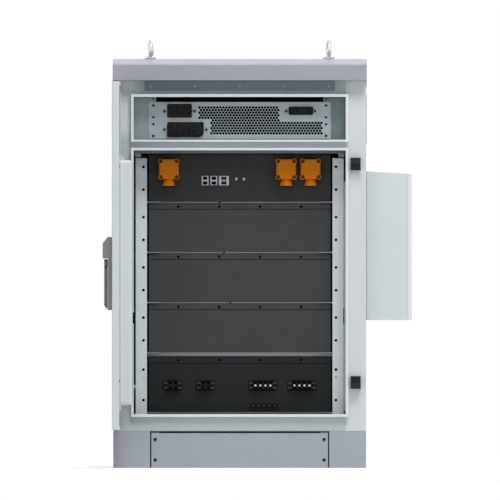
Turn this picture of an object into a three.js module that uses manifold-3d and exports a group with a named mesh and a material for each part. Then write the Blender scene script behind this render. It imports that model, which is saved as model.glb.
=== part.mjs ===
// Outdoor battery cabinet: a steel cabinet on a plinth with five rack units, a power unit above them,
// a hinged door with a rod lock and a cooling unit on its right wall. Millimetres, +Z up, front to -Y.
// The origin lies on the floor, midway between the plinth's two front anchor holes.
import * as THREE from "three";
import { mergeVertices } from "three/addons/utils/BufferGeometryUtils.js";
import Module from "manifold-3d";

const wasm = await Module();
wasm.setup();

// Cabinet body
const plinthHeight = 100;
const rackSideSpace = 60.2;
const rackRearSpace = 85;
const headHeight = 44.5;
const wallSheet = 2;
const frameSheet = 2.5;
const rearRibs = 3;
const rearRibHeight = 10;
const rearRibProud = 2;
const rearRibInset = 100;
const seam = 0.3;
const overrun = 1;

// Plinth
const plinthSheet = 3;
const plinthFlange = 50;
const plinthPanelInset = 102;
const plinthPanelDepth = 12;
const plinthPanelGap = 3;
const plinthTabWidth = 25;
const anchorInset = 40;
const anchorHole = 12;

// Front frame and its two openings
const frameReturn = 20;
const stileWidth = 55;
const sillHeight = 45;
const crossBarHeight = 28.5;
const rackHeadroom = 10.5;
const powerHeadroom = 13.5;
const powerPanelRise = 2;
const gutterBar = 8;
const gutterSideBar = 6;
const gutterDepth = 12;
const gutterChamfer = 1;
const weldGrooveShift = 1;
const weldGroove = 0.8;

// Base plate, shelf and side wall openings
const cableEntryWidth = 240;
const cableEntryDepth = 60;
const cableEntryInset = 24;
const shelfRise = 12;
const shelfInset = 50;
const shelfLip = 20;
const ventWidth = 240;
const ventMargin = 2.5;
const ventInset = 130;
const ventCoverMargin = 12;
const ventCoverDepth = 2.5;
const ventSlotHeight = 5;
const ventSlotPitch = 13;

// Roof
const roofSheet = 1.2;
const roofOverhang = 36;
const roofFascia = 40.5;
const roofRise = 17;
const roofSlope = 70;
const roofSkirt = 18.5;
const roofLap = 15;
const roofFlangeInset = 84.5;
const roofFlangeDrop = 28;

// Lifting eyes
const eyeSideInset = 100;
const eyeInset = 60;
const eyeRing = 42;
const eyeSection = 12;
const eyeCollar = 30;
const eyeCollarHeight = 8;
const eyeHeight = 53;
const eyeShank = 12;
const eyeShankReach = 72;
const eyeTurn = 4;

// Door, in the open position
const doorThickness = 20;
const doorSheet = 2;
const doorTopGap = 7;
const doorBottomGap = 8;
const doorEdgeInset = 0.5;
const doorLip = 8;
const doorEdgeRadius = 3;
const hingeInset = 10;
const hingeStandoff = 16;
const sealWidth = 14;
const sealClearance = 1.2;
const linerMargin = 13;
const linerBrim = 2.5;
const linerRise = 32;
const linerCrownInset = 16;
const linerSideInset = 14;
const linerChamfer = 3;

// Hinges
const hingeEndInset = 238.5;
const hingeArmWidth = 8;
const hingeArmHeight = 30;
const hingeKnuckleRadius = 6;
const hingeKnuckleHeight = 19;
const hingeKnuckleGap = 0.5;
const hingePinRadius = 3;
const hingePlateHeight = 80;
const hingePlateThickness = 3;
const hingePlateReach = 19;

// Rod lock and swing handle
const lockOffset = 24;
const handleHeight = 194.5;
const handleWidth = 34;
const handleBaseDepth = 11;
const hoodDepth = 24.5;
const hoodHeight = 57.5;
const hoodChamfer = 17;
const spindleRise = 25.5;
const spindleRadius = 7;
const spindleHeadRadius = 12.4;
const leverThickness = 8.7;
const leverWidth = 24;
const leverLength = 119;
const leverNeck = 14;
const leverTongue = 7;
const leverBevel = 1;
const leverTipChamfer = 8;
const leverTipThickness = 2;
const leverEyeRadius = 3.6;
const leverPinRadius = 2;
const runningGap = 0.5;
const gearboxWidth = 30;
const gearboxHeight = 70;
const rodWidth = 10;
const rodThickness = 4;
const rodStandoff = 13;
const rodEndGap = 13;
const rollerInset = 69;
const rollerRadius = 7;
const rollerWidth = 12;
const rollerAxle = 2.5;
const forkCheek = 2;
const guideDrop = 40;
const guideHeight = 8;
const keeperGap = 5;
const keeperWidth = 27;
const keeperHeight = 34;
const keeperDepth = 22.5;
const keeperCheek = 3.5;
const keeperBridge = 3.8;
const keeperBase = 2;

// Rack sides
const rackPlane = 75;
const unitSideGap = 4.8;
const uprightWidth = 30;
const uprightSheet = 2.5;
const uprightHoleRises = [32, 93.2];
const uprightDrop = 10.5;
const rearUprightInset = 15;
const supportReach = 34.5;
const supportStart = 3;
const railHoleInset = 9.2;
const railHole = 5;
const wallTabRise = 117;
const wallTabDepth = 20;

// Rack units
const unitWidth = 490;
const unitDepth = 480;
const unitSetback = 10;
const stackRise = 50.1;
const junctionHeight = 149.5;
const junctionGap = 11.3;
const packs = 3;
const packHeight = 131;
const packGap = 4.2;
const controlHeight = 127;
const lidLip = 15.6;
const junctionLidLip = 18.2;
const lidProud = 1.2;
const lidGroove = 1.6;
const lidHoles = 4;
const lidHole = 4.5;
const lidHoleSpacing = 110;
const lidHoleDrop = 9.4;

// Control unit front
const powerConnectorInset = 54.2;
const powerConnectorSpacing = 65.9;
const powerConnectorDrop = 40;
const connectorBody = 50;
const connectorDepth = 40;
const connectorBossRadius = 6.7;
const connectorBossSpacing = 43;
const connectorBossDepth = 34;
const connectorSeatRadius = 5;
const connectorSeatDepth = 12;
const connectorChamfer = 4;
const connectorBevel = 1.5;
const bellNeck = 12.9;
const bellMouth = 17.6;
const bellRim = 16.8;
const bellHeight = 18;
const bellBore = 9.5;
const bellBoreDepth = 30;
const portSkin = 3;
const portRoom = 12;
const portBoardThickness = 1.6;
const portProud = 1.2;
const jackWidth = 17.8;
const jackHeight = 25;
const jackSocketWidth = 11.8;
const jackSocketHeight = 8.6;
const jackSocketDepth = 9;
const jackPlaces = [-93.1, -69.7];
const jackRise = 56.2;
const widePortPlace = -42.6;
const widePortWidth = 26.2;
const widePortSocket = 16;
const widePortTaper = 2;
const buttonPlaces = [-9.3, 11];
const buttonRise = 60.3;
const buttonRadius = 5;
const buttonProud = 3;
const buttonLength = 10;
const buttonTravel = 2;

// Junction unit front
const terminalRise = 71.3;
const terminalHeight = 29;
const terminalBase = 8;
const terminalPitch = 13.4;
const terminalEar = 12;
const terminalBarrier = 2.4;
const terminalBarrierHeight = 22;
const terminalDepth = 17;
const terminalScrewRadius = 4.6;
const terminalScrewRise = 3.5;
const terminalEarHole = 2.2;
const twoPolePlaces = [-180, -91.5];
const fourPolePlaces = [62.5, 167.5];
const combPlace = 65.6;
const combRise = 5.4;
const combPitch = 14.5;
const combLoops = 5;
const combBar = 5;
const combDepth = 7;
const combLoopInner = 4.4;
const combLoopWire = 2;
const combLegHeight = 7;

// Power unit and its rails
const unitRailSetback = 40;
const earWidth = 20;
const earHoleInset = 12.7;
const unitRailReturn = 25;
const powerPanelSheet = 2;
const powerCaseInset = 24.5;
const powerCaseEdge = 5.75;
const powerCaseDepth = 350;
const powerCaseSheet = 1.5;
const earHoleRises = [8.6, 39.8, 58.4, 90];
const earHole = 6;
const spareHoleRise = 9.6;
const perforationPitch = 8;
const perforationRowPitch = 6.93;
const perforation = 5;
const perforationSides = 3;
const perforationRows = 11;
const perforationDrop = 14.8;
const perforationMargin = 20.5;
const perforationEndMargin = 25;
const perforationTopMargin = 5.5;
const perforationFootMargin = 15;
const socketEdge = 5.35;
const socketGap = 12.2;
const supplyInset = 83.2;
const supplySize = [66.4, 36.6];
const outputInset = 99.1;
const outputSize = [98.2, 40];
const signalInset = 80.6;
const signalSize = [65.6, 22];
const socketProud = 8;
const socketDepth = 26;
const socketMargin = 3;
const contactHole = 4;
const outputContactHole = 5.6;
const outputChamfer = 10.8;
const bezelRadius = 1.5;
const contactDepth = 6;

// Cooling unit on the right wall
const coolerWidth = 320;
const coolerStart = 150;
const coolerRise = 297;
const coolerHeight = 401;
const coolerTopFall = 7.4;
const coolerDepth = 110.5;
const coolerCover = 10.5;
const coolerSheet = 2;
const coolerFlange = 2.1;
const coolerFlangeInset = 4;
const coolerOpeningMargin = 27;
const coolerOpeningInset = 20;
const coolerOpeningGap = 2.5;
const coolerInnerGap = 1.7;
const louvreHeight = 9;
const louvrePitch = 16;
const louvreWidth = 240;
const louvreTopDrop = 34;
const fanRise = 137;
const fanGuardRadius = 105;
const fanRadius = 96;
const fanHubRadius = 32;
const fanHubDepth = 30;
const fanBlades = 7;
const fanChord = 52;
const fanBladeThickness = 2.2;
const fanRootDepth = 3.3;
const fanRootChordShare = 0.62;
const fanRootPitch = 48;
const fanTipPitch = 26;
const fanMotorRadius = 30;
const fanMotorDepth = 48;
const fanShaftRadius = 4;
const fanShaftReach = 20;

// Widths and depths worked out from the rack units outwards
const rackOpening = unitWidth + 2 * unitSideGap;
const rackOutside = rackOpening / 2 + uprightWidth;
const halfBody = rackOutside + rackSideSpace;
const bodyWidth = 2 * halfBody;
const halfOpening = halfBody - stileWidth;
const openingWidth = 2 * halfOpening;
const unitFace = rackPlane + unitSetback;
const bodyDepth = unitFace + unitDepth + rackRearSpace;
const holeColumn = rackOpening / 2 + railHoleInset;
const earHoleColumn = unitWidth / 2 - earHoleInset;

// Heights worked out from the floor upwards
const junctionBottom = plinthHeight + stackRise;
const packBottom = junctionBottom + junctionHeight + junctionGap;
const packPitch = packHeight + packGap;
const packLevels = Array.from({ length: packs }, (_, i) => packBottom + i * packPitch);
const controlBottom = packBottom + packs * packPitch;
const unitLevels = [junctionBottom, ...packLevels, controlBottom];
const rackTop = controlBottom + controlHeight;
const lowerOpening = [plinthHeight + sillHeight, rackTop + rackHeadroom];
const shelfHeight = lowerOpening[1] + shelfRise;
const powerPanelHeight = supplySize[1] + outputSize[1] + socketGap + 2 * socketEdge;
const powerPanelBottom = lowerOpening[1] + crossBarHeight + powerPanelRise;
const upperOpening = [powerPanelBottom - powerPanelRise, powerPanelBottom + powerPanelHeight + powerHeadroom];
const bodyTop = upperOpening[1] + headHeight;
const roofTop = bodyTop + seam + roofFascia + roofRise;

// Places on the door, round its hinge axis, and on the lock
const hingeX = hingeInset + doorEdgeInset - halfBody;
const doorReach = bodyWidth - 2 * doorEdgeInset - hingeInset;
const doorBottom = plinthHeight + doorBottomGap;
const doorTop = bodyTop - doorTopGap;
const doorFace = -doorThickness / 2;
const doorFloor = doorFace + doorSheet;
const doorRim = doorThickness / 2;
const hingeHeights = [doorTop - hingeEndInset, doorBottom + hingeEndInset];
const lockSetback = stileWidth - gutterBar - keeperGap - keeperWidth / 2 - doorEdgeInset;
const lockY = lockSetback - doorReach;
const lockX = hingeX - lockY;
const lockHeight = (lowerOpening[0] + lowerOpening[1]) / 2 + lockOffset;
const spindleZ = lockHeight + spindleRise;
const handleTop = lockHeight + handleHeight / 2;
const leverX = doorFace - seam - handleBaseDepth - runningGap - leverThickness / 2;
const rollerX = doorFloor + rodStandoff;
const rollerReach = (lowerOpening[1] - lowerOpening[0]) / 2 - rollerInset;

// Places on the unit fronts and on the cooling unit
const connectorEnd = unitWidth / 2 - powerConnectorInset;
const powerConnectorPlaces = [-connectorEnd, connectorEnd - powerConnectorSpacing, connectorEnd];
const powerFace = unitRailSetback - seam - powerPanelSheet;
const supplyPlace = [supplyInset - unitWidth / 2, powerPanelHeight - socketEdge - supplySize[1] / 2];
const outputPlace = [outputInset - unitWidth / 2, socketEdge + outputSize[1] / 2];
const signalPlace = [unitWidth / 2 - signalInset, supplyPlace[1]];
const coolerFloor = halfBody + seam + coolerFlange;
const coolerCoverPlane = coolerFloor + coolerDepth;
const coolerBottom = plinthHeight + coolerRise;
const coolerTop = coolerBottom + coolerHeight;
const fanZ = coolerBottom + fanRise;

// Paints and metals
function paint(color, roughness, metalness) {
  return new THREE.MeshStandardMaterial({ color, roughness, metalness });
}

const lightGrey = () => paint(0xc8cbd0, 0.5, 0.1);
const roofGrey = () => paint(0xa0a4ab, 0.5, 0.1);
const plinthGrey = () => paint(0x979ca2, 0.6, 0.1);
const railGrey = () => paint(0xb4bdc1, 0.45, 0.4);
const panelGrey = () => paint(0x8c979b, 0.5, 0.3);
const unitBlack = () => paint(0x3e3f41, 0.55, 0.2);
const deepBlack = () => paint(0x1c1c1e, 0.5, 0);
const handleGrey = () => paint(0x77797c, 0.45, 0.1);
const leverGrey = () => paint(0x5f6467, 0.45, 0.1);
const orange = () => paint(0xb8690f, 0.5, 0);
const portGrey = () => paint(0x9a9ca0, 0.4, 0.3);
const steel = () => paint(0xc4c7ca, 0.35, 0.9);
const rubber = () => paint(0x202124, 0.9, 0);

// Closed solids from three.js geometries, with their corners on one fine grid
const gridStep = 1e-3;

function solidOf(geometry) {
  geometry.deleteAttribute("normal");
  geometry.deleteAttribute("uv");
  const onGrid = geometry.attributes.position.array.map((value) => Math.round(value / gridStep) * gridStep);
  geometry.setAttribute("position", new THREE.BufferAttribute(onGrid, 3));
  const merged = mergeVertices(geometry, gridStep / 2);
  const triVerts = new Uint32Array(merged.index.array);
  const vertProperties = merged.attributes.position.array;
  const solid = new wasm.Manifold(new wasm.Mesh({ numProp: 3, vertProperties, triVerts }));
  if (solid.volume() > 0) return solid;
  return new wasm.Manifold(new wasm.Mesh({ numProp: 3, vertProperties, triVerts: triVerts.reverse() }));
}

function geometryOf(solid) {
  const mesh = solid.getMesh();
  const geometry = new THREE.BufferGeometry();
  geometry.setAttribute("position", new THREE.BufferAttribute(mesh.vertProperties, 3));
  geometry.setIndex(new THREE.BufferAttribute(mesh.triVerts, 1));
  geometry.computeVertexNormals();
  return geometry;
}

const join = (first, ...others) => others.reduce((whole, other) => whole.add(other), first);
const cut = (first, ...others) => others.reduce((whole, other) => whole.subtract(other), first);
const span = (middle, size) => [middle - size / 2, middle + size / 2];

function box([x0, x1], [y0, y1], [z0, z1]) {
  const geometry = new THREE.BoxGeometry(x1 - x0, y1 - y0, z1 - z0);
  geometry.translate((x0 + x1) / 2, (y0 + y1) / 2, (z0 + z1) / 2);
  return solidOf(geometry);
}

// A cylinder or cone along an axis, through the point given by its other two coordinates
function cylinder(axis, radius, [from, to], [x, y, z], sides = 16, endRadius = radius) {
  const geometry = new THREE.CylinderGeometry(endRadius, radius, to - from, sides);
  geometry.translate(0, (from + to) / 2, 0);
  if (axis === "x") geometry.rotateZ(-Math.PI / 2);
  if (axis === "z") geometry.rotateX(Math.PI / 2);
  if (axis === "x") return solidOf(geometry.translate(0, y, z));
  if (axis === "y") return solidOf(geometry.translate(x, 0, z));
  return solidOf(geometry.translate(x, y, 0));
}

// An outline drawn in (y, z), (x, z) or (x, y) and extruded along x, y or z
function extrude(axis, shape, [from, to], curveSegments = 3, bevel = 0) {
  const options = { depth: to - from - 2 * bevel, curveSegments, bevelEnabled: bevel > 0 };
  Object.assign(options, { bevelSize: bevel, bevelThickness: bevel, bevelOffset: -bevel, bevelSegments: 1 });
  const geometry = new THREE.ExtrudeGeometry(shape, options).translate(0, 0, bevel);
  const place = {
    x: new THREE.Matrix4().set(0, 0, 1, from, 1, 0, 0, 0, 0, 1, 0, 0, 0, 0, 0, 1),
    y: new THREE.Matrix4().set(1, 0, 0, 0, 0, 0, -1, to, 0, 1, 0, 0, 0, 0, 0, 1),
    z: new THREE.Matrix4().makeTranslation(0, 0, from),
  }[axis];
  return solidOf(geometry.applyMatrix4(place));
}

const outline = (points) => new THREE.Shape(points.map(([a, b]) => new THREE.Vector2(a, b)));
const rectangle = ([a0, a1], [b0, b1]) => outline([[a0, b0], [a1, b0], [a1, b1], [a0, b1]]);

function roundedRectangle([a0, a1], [b0, b1], radius) {
  const shape = new THREE.Shape();
  shape.absarc(a1 - radius, b0 + radius, radius, -Math.PI / 2, 0);
  shape.absarc(a1 - radius, b1 - radius, radius, 0, Math.PI / 2);
  shape.absarc(a0 + radius, b1 - radius, radius, Math.PI / 2, Math.PI);
  shape.absarc(a0 + radius, b0 + radius, radius, Math.PI, 1.5 * Math.PI);
  return shape;
}

function polygonHole(a, b, radius, sides) {
  const turns = Array.from({ length: sides }, (_, i) => 2 * Math.PI * i / sides);
  return outline(turns.map((turn) => [a + radius * Math.cos(turn), b + radius * Math.sin(turn)]));
}

function revolve(profile, sides) {
  const points = profile.map(([radius, z]) => new THREE.Vector2(radius, z));
  return solidOf(new THREE.LatheGeometry(points, sides).rotateX(Math.PI / 2));
}

function groupAt(parent, x, y, z) {
  const group = new THREE.Group();
  group.position.set(x, y, z);
  parent.add(group);
  return group;
}

function addPiece(parent, name, solid, material, [x, y, z] = [0, 0, 0]) {
  const mesh = new THREE.Mesh(geometryOf(solid), material);
  mesh.name = name;
  mesh.position.set(x, y, z);
  parent.add(mesh);
  return mesh;
}

// Plinth: a folded ring whose front is closed by a removable panel
function plinthFrame() {
  const outerX = [-halfBody, halfBody];
  const outerY = [0, bodyDepth];
  const height = plinthHeight - seam;
  const inner = [plinthSheet - halfBody, halfBody - plinthSheet];
  const innerY = [plinthSheet, bodyDepth - plinthSheet];
  const clear = [plinthFlange - halfBody, halfBody - plinthFlange];
  const clearY = [plinthFlange, bodyDepth - plinthFlange];
  const ring = cut(
    box(outerX, outerY, [0, height]),
    box(inner, innerY, [plinthSheet, height - plinthSheet]),
    box(clear, clearY, [-overrun, height + overrun]),
  );
  const bayHalf = halfBody - plinthPanelInset + plinthPanelGap;
  const bayBack = plinthPanelDepth + seam;
  const bay = box([-bayHalf, bayHalf], [-overrun, bayBack], [-overrun, height + overrun]);
  const tabs = [-1, 1].map((side) => box(
    side < 0 ? [-bayHalf - overrun, plinthTabWidth - bayHalf] : [bayHalf - plinthTabWidth, bayHalf + overrun],
    [bayBack, bayBack + plinthSheet], [0, height]));
  const jambs = [-1, 1].map((side) => box(
    side < 0 ? [-bayHalf - plinthSheet, -bayHalf] : [bayHalf, bayHalf + plinthSheet],
    [0, bayBack + plinthSheet], [0, height]));
  const anchorX = halfBody - anchorInset;
  const anchors = [plinthFlange / 2, bodyDepth - plinthFlange / 2].flatMap((y) => [-anchorX, anchorX].map((x) =>
    cylinder("z", anchorHole / 2, [-overrun, plinthSheet + overrun], [x, y, 0], 8)));
  return cut(join(cut(ring, bay), ...tabs, ...jambs), ...anchors);
}

function plinthFrontPanel() {
  const x = [plinthPanelInset - halfBody, halfBody - plinthPanelInset];
  const z = [seam, plinthHeight - 2 * plinthPanelGap];
  const inside = (range) => [range[0] + plinthSheet, range[1] - plinthSheet];
  return cut(
    box(x, [0, plinthPanelDepth], z),
    box(inside(x), [plinthSheet, plinthPanelDepth + overrun], inside(z)),
  );
}

// Body sheets
function basePlate() {
  const y = [frameReturn + seam, bodyDepth - wallSheet - seam];
  const plate = box(span(0, bodyWidth - 2 * wallSheet - 2 * seam), y, [0, wallSheet]);
  const lip = box(span(0, bodyWidth - 2 * wallSheet - 2 * seam), [y[1] - wallSheet, y[1]], [0, frameReturn]);
  const entry = span(frameReturn + cableEntryInset + cableEntryDepth / 2, cableEntryDepth);
  return cut(join(plate, lip), box(span(0, cableEntryWidth), entry, [-overrun, wallSheet + overrun]));
}

function sideWall(side, openings) {
  const outer = side * halfBody;
  const x = [outer, outer - side * wallSheet].sort((a, b) => a - b);
  const y = [frameReturn + seam, bodyDepth - wallSheet - seam];
  const z = [plinthHeight, bodyTop];
  const sheet = box(x, y, z);
  const returnX = [outer, outer - side * frameReturn].sort((a, b) => a - b);
  const returnZ = [z[0] + frameReturn + seam, z[1] - wallSheet - seam];
  const rearReturn = box(returnX, [y[1] - wallSheet, y[1]], returnZ);
  const windows = openings.map((opening) => box([x[0] - overrun, x[1] + overrun], ...opening));
  return cut(join(sheet, rearReturn), ...windows);
}

function rearPanel() {
  const sheet = box([-halfBody, halfBody], [0, wallSheet], [plinthHeight, bodyTop]);
  const ribPitch = (bodyTop - plinthHeight) / (rearRibs + 1);
  const ribs = Array.from({ length: rearRibs }, (_, i) => box(span(0, bodyWidth - 2 * rearRibInset),
    [wallSheet / 2, wallSheet + rearRibProud], span(plinthHeight + ribPitch * (i + 1), rearRibHeight)));
  return join(sheet, ...ribs);
}

function topPlate() {
  const y = [frameReturn + seam, bodyDepth - wallSheet - seam];
  const plate = box(span(0, bodyWidth - 2 * wallSheet - 2 * seam), y, [-wallSheet, 0]);
  return cut(plate, ...eyePlaces().map(([x, yy]) => eyeHoleAt(x, yy, [-wallSheet - overrun, overrun])));
}

function eyePlaces() {
  const rows = [eyeInset, bodyDepth - eyeInset];
  return rows.flatMap((y) => [eyeSideInset - halfBody, halfBody - eyeSideInset].map((x) => [x, y]));
}

function eyeHoleAt(x, y, z) {
  return cylinder("z", eyeShank / 2 + runningGap + seam, z, [x, y, 0], 8);
}

// Front frame: one welded sheet with folded edges round the body and round both openings
function frontFrame() {
  const z = [plinthHeight, bodyTop];
  const shell = cut(
    box([-halfBody, halfBody], [0, frameReturn], z),
    box(span(0, bodyWidth - 2 * frameSheet), [frameSheet, frameReturn + overrun],
      [z[0] + frameSheet, z[1] - frameSheet]),
  );
  const collars = [lowerOpening, upperOpening].map(([low, high]) => box(
    span(0, openingWidth + 2 * frameSheet), [0, frameReturn], [low - frameSheet, high + frameSheet]));
  const windows = [lowerOpening, upperOpening].map((range) =>
    box(span(0, openingWidth), [-overrun, frameReturn + overrun], range));
  const grooveX = halfOpening + weldGrooveShift;
  const grooves = [-grooveX, grooveX].flatMap((x) => [
    box(span(x, weldGroove), [-overrun, weldGroove], [z[0] - overrun, lowerOpening[0] - gutterBar]),
    box(span(x, weldGroove), [-overrun, weldGroove], [upperOpening[1] + gutterBar, z[1] + overrun]),
  ]);
  return cut(join(shell, ...collars), ...windows, ...grooves);
}

// Raised gutter round an opening, on the frame's face
function gutterFrame([low, high], topBar, bottomBar) {
  const shape = rectangle(span(0, openingWidth + 2 * gutterBar), [low - bottomBar, high + topBar]);
  const ring = extrude("y", shape, [-gutterDepth, -seam], 3, gutterChamfer);
  return cut(ring, box(span(0, openingWidth), [-gutterDepth - overrun, overrun], [low, high]));
}

function compartmentShelf() {
  const x = span(0, bodyWidth - 2 * wallSheet - 2 * seam);
  const y = [shelfInset, bodyDepth - 2 * wallSheet - 2 * seam];
  const lipX = span(0, openingWidth - 2 * wallSheet);
  return join(
    box(x, y, [shelfHeight, shelfHeight + wallSheet]),
    box(lipX, [y[0], y[0] + wallSheet], [shelfHeight - shelfLip, shelfHeight + wallSheet]),
  );
}

function sideVentCover() {
  const ventHeight = upperOpening[1] - upperOpening[0] - 2 * ventMargin;
  const y = [-ventCoverMargin, ventWidth + ventCoverMargin];
  const z = [-ventCoverMargin, ventHeight + ventCoverMargin];
  const plate = extrude("x", roundedRectangle(y, z, ventCoverMargin), [0, ventCoverDepth], 2);
  const rows = Math.floor((ventHeight - ventSlotHeight) / ventSlotPitch) + 1;
  const slots = Array.from({ length: rows }, (_, i) => box([-overrun, ventCoverDepth + overrun],
    [ventCoverMargin, ventWidth - ventCoverMargin],
    span(ventHeight / 2 + ventSlotPitch * (i - (rows - 1) / 2), ventSlotHeight)));
  return cut(plate, ...slots);
}

// Roof: a folded shell with sloped edges, side skirts and a fixing flange in front of the frame
function roofCover() {
  const bottom = bodyTop + seam;
  const shoulder = bottom + roofFascia;
  const front = -roofOverhang;
  const back = bodyDepth + roofOverhang;
  const skirtBottom = bodyTop - roofSkirt;
  const halfRoof = halfBody + seam + roofSheet;
  const outer = outline([[front, bottom], [0, bottom], [0, skirtBottom], [bodyDepth, skirtBottom],
    [bodyDepth, bottom], [back, bottom], [back, shoulder], [back - roofSlope, roofTop],
    [front + roofSlope, roofTop], [front, shoulder]]);
  const inner = outline([[front + roofSheet, bottom + roofSheet], [back - roofSheet, bottom + roofSheet],
    [back - roofSheet, shoulder - roofSheet / 2], [back - roofSlope, roofTop - roofSheet],
    [front + roofSlope, roofTop - roofSheet], [front + roofSheet, shoulder - roofSheet / 2]]);
  const insideX = [roofSheet - halfRoof, halfRoof - roofSheet];
  const mouth = box(insideX, [roofLap, bodyDepth - roofLap], [skirtBottom - overrun, bottom + 2 * roofSheet]);
  const below = box(insideX, [-overrun, bodyDepth + overrun], [skirtBottom - overrun, bottom]);
  const flange = box(span(0, bodyWidth - 2 * roofFlangeInset), [-seam - roofSheet, -seam],
    [bodyTop - roofFlangeDrop, bottom + roofSheet / 2]);
  const holes = eyePlaces().map(([x, y]) => eyeHoleAt(x, y, [roofTop - 2 * roofSheet, roofTop + overrun]));
  const shell = cut(extrude("x", outer, [-halfRoof, halfRoof]), extrude("x", inner, insideX), mouth, below);
  return cut(join(shell, flange), ...holes);
}

// Lifting eye: ring, collar and shank
function liftingEye() {
  const ring = new THREE.TorusGeometry(eyeRing / 2, eyeSection / 2, 6, 10);
  ring.rotateX(Math.PI / 2).rotateZ(Math.PI / 2).rotateX(Math.PI / 2);
  ring.translate(0, 0, eyeHeight - (eyeRing + eyeSection) / 2);
  const neck = eyeCollar / 2 - eyeSection / 4;
  const foot = revolve([[0, -eyeShankReach], [eyeShank / 2, -eyeShankReach], [eyeShank / 2, 0],
    [eyeCollar / 2, 0], [eyeCollar / 2, eyeCollarHeight / 2], [neck, eyeCollarHeight],
    [0, eyeCollarHeight]], 8);
  return join(foot, solidOf(ring));
}

// Door panel: a folded pan with lips, hinge notches, knuckles and two rod guides
function doorPanel() {
  const x = [doorFace, doorRim];
  const y = [-doorReach, hingeInset];
  const skinShape = new THREE.Shape();
  skinShape.moveTo(x[1], y[0]);
  skinShape.lineTo(x[1], y[1]);
  skinShape.absarc(x[0] + doorEdgeRadius, y[1] - doorEdgeRadius, doorEdgeRadius, Math.PI / 2, Math.PI);
  skinShape.absarc(x[0] + doorEdgeRadius, y[0] + doorEdgeRadius, doorEdgeRadius, Math.PI, 1.5 * Math.PI);
  const skin = extrude("z", skinShape, [doorBottom, doorTop], 3);
  const inset = (range, by) => [range[0] + by, range[1] - by];
  const z = [doorBottom, doorTop];
  const pocket = box([doorFloor, doorRim - doorSheet], inset(y, doorSheet), inset(z, doorSheet));
  const mouth = box([doorFloor, doorRim + overrun], inset(y, doorLip), inset(z, doorLip));
  const notches = hingeHeights.map((height) => box([doorFloor + runningGap, doorRim + overrun],
    [hingeInset - doorLip - overrun, hingeInset + overrun], span(height, hingePlateHeight + 2)));
  const knuckleMiddle = (hingeArmHeight + hingeKnuckleHeight) / 2 + hingeKnuckleGap;
  const knuckles = hingeHeights.flatMap((height) => [-1, 1].map((side) => {
    const range = span(height + side * knuckleMiddle, hingeKnuckleHeight);
    const barrel = cylinder("z", hingeKnuckleRadius, range, [0, 0, 0], 12);
    const web = box([doorFloor - doorSheet / 2, 0], span(0, hingeArmWidth), range);
    return join(barrel, web);
  }));
  const bores = hingeHeights.map((height) => cylinder("z", hingePinRadius + runningGap,
    span(height, hingePlateHeight), [0, 0, 0], 8));
  const guides = [-1, 1].map((side) => rodGuide(lockHeight + side * (rollerReach - guideDrop)));
  const spindleHole = cylinder("x", spindleRadius + runningGap, [doorFace - overrun, doorFloor + overrun],
    [0, lockY, spindleZ], 12);
  return cut(join(cut(skin, pocket, mouth, ...notches), ...knuckles, ...guides), ...bores, spindleHole);
}

function rodGuide(height) {
  const width = rodWidth + 4 * forkCheek;
  const block = box([doorFloor - doorSheet / 2, rollerX + rodThickness / 2 + forkCheek],
    span(lockY, width), span(height, guideHeight));
  return cut(block, box(span(rollerX, rodThickness + 2 * runningGap),
    span(lockY, rodWidth + 2 * runningGap), span(height, guideHeight + 2 * overrun)));
}

// Ranges across the door of what faces an opening when the door is closed
function doorWindow(margin) {
  return [-halfOpening - hingeX + margin, halfOpening - hingeX - margin].map((v) => -v).reverse();
}

function doorSeal() {
  const barMiddle = gutterBar / 2;
  const half = sealWidth / 2;
  const x = [doorFloor + seam, hingeStandoff - gutterDepth - sealClearance];
  const whole = box(x, doorWindow(-barMiddle - half),
    [lowerOpening[0] - barMiddle - half, upperOpening[1] + barMiddle + half]);
  const windows = [lowerOpening, upperOpening].map(([low, high]) => box([x[0] - overrun, x[1] + overrun],
    doorWindow(half - barMiddle), [low - barMiddle + half, high + barMiddle - half]));
  return cut(whole, ...windows);
}

function doorLiner() {
  const z = [lowerOpening[0] + linerMargin, lowerOpening[1] - linerMargin];
  const y = doorWindow(linerMargin);
  const brimX = [doorRim, doorRim + linerBrim];
  const inset = (range, by) => [range[0] + by, range[1] - by];
  const core = box([doorFloor + seam, doorRim + linerBrim / 2], inset(y, linerBrim), inset(z, linerBrim));
  const brim = box(brimX, y, z);
  const crownZ = inset(z, linerCrownInset);
  const crownShape = roundedRectangle(inset(y, linerSideInset), crownZ, linerCrownInset / 2);
  const crown = extrude("x", crownShape, [doorRim, doorRim + linerRise], 2, linerChamfer);
  return join(core, brim, crown);
}

// Hinge arm on the frame with its pin, round the hinge axis
function hingeArm() {
  const plateY = [hingeStandoff - seam - hingePlateThickness, hingeStandoff - seam];
  const plate = box([-hingeInset + runningGap * 4, hingePlateReach], plateY, span(0, hingePlateHeight));
  const arm = box(span(0, hingeArmWidth), [0, plateY[1]], span(0, hingeArmHeight));
  const barrel = cylinder("z", hingeKnuckleRadius, span(0, hingeArmHeight), [0, 0, 0], 12);
  const pin = cylinder("z", hingePinRadius, span(0, hingePlateHeight - 2), [0, 0, 0], 8);
  return join(plate, arm, barrel, pin);
}

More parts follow.
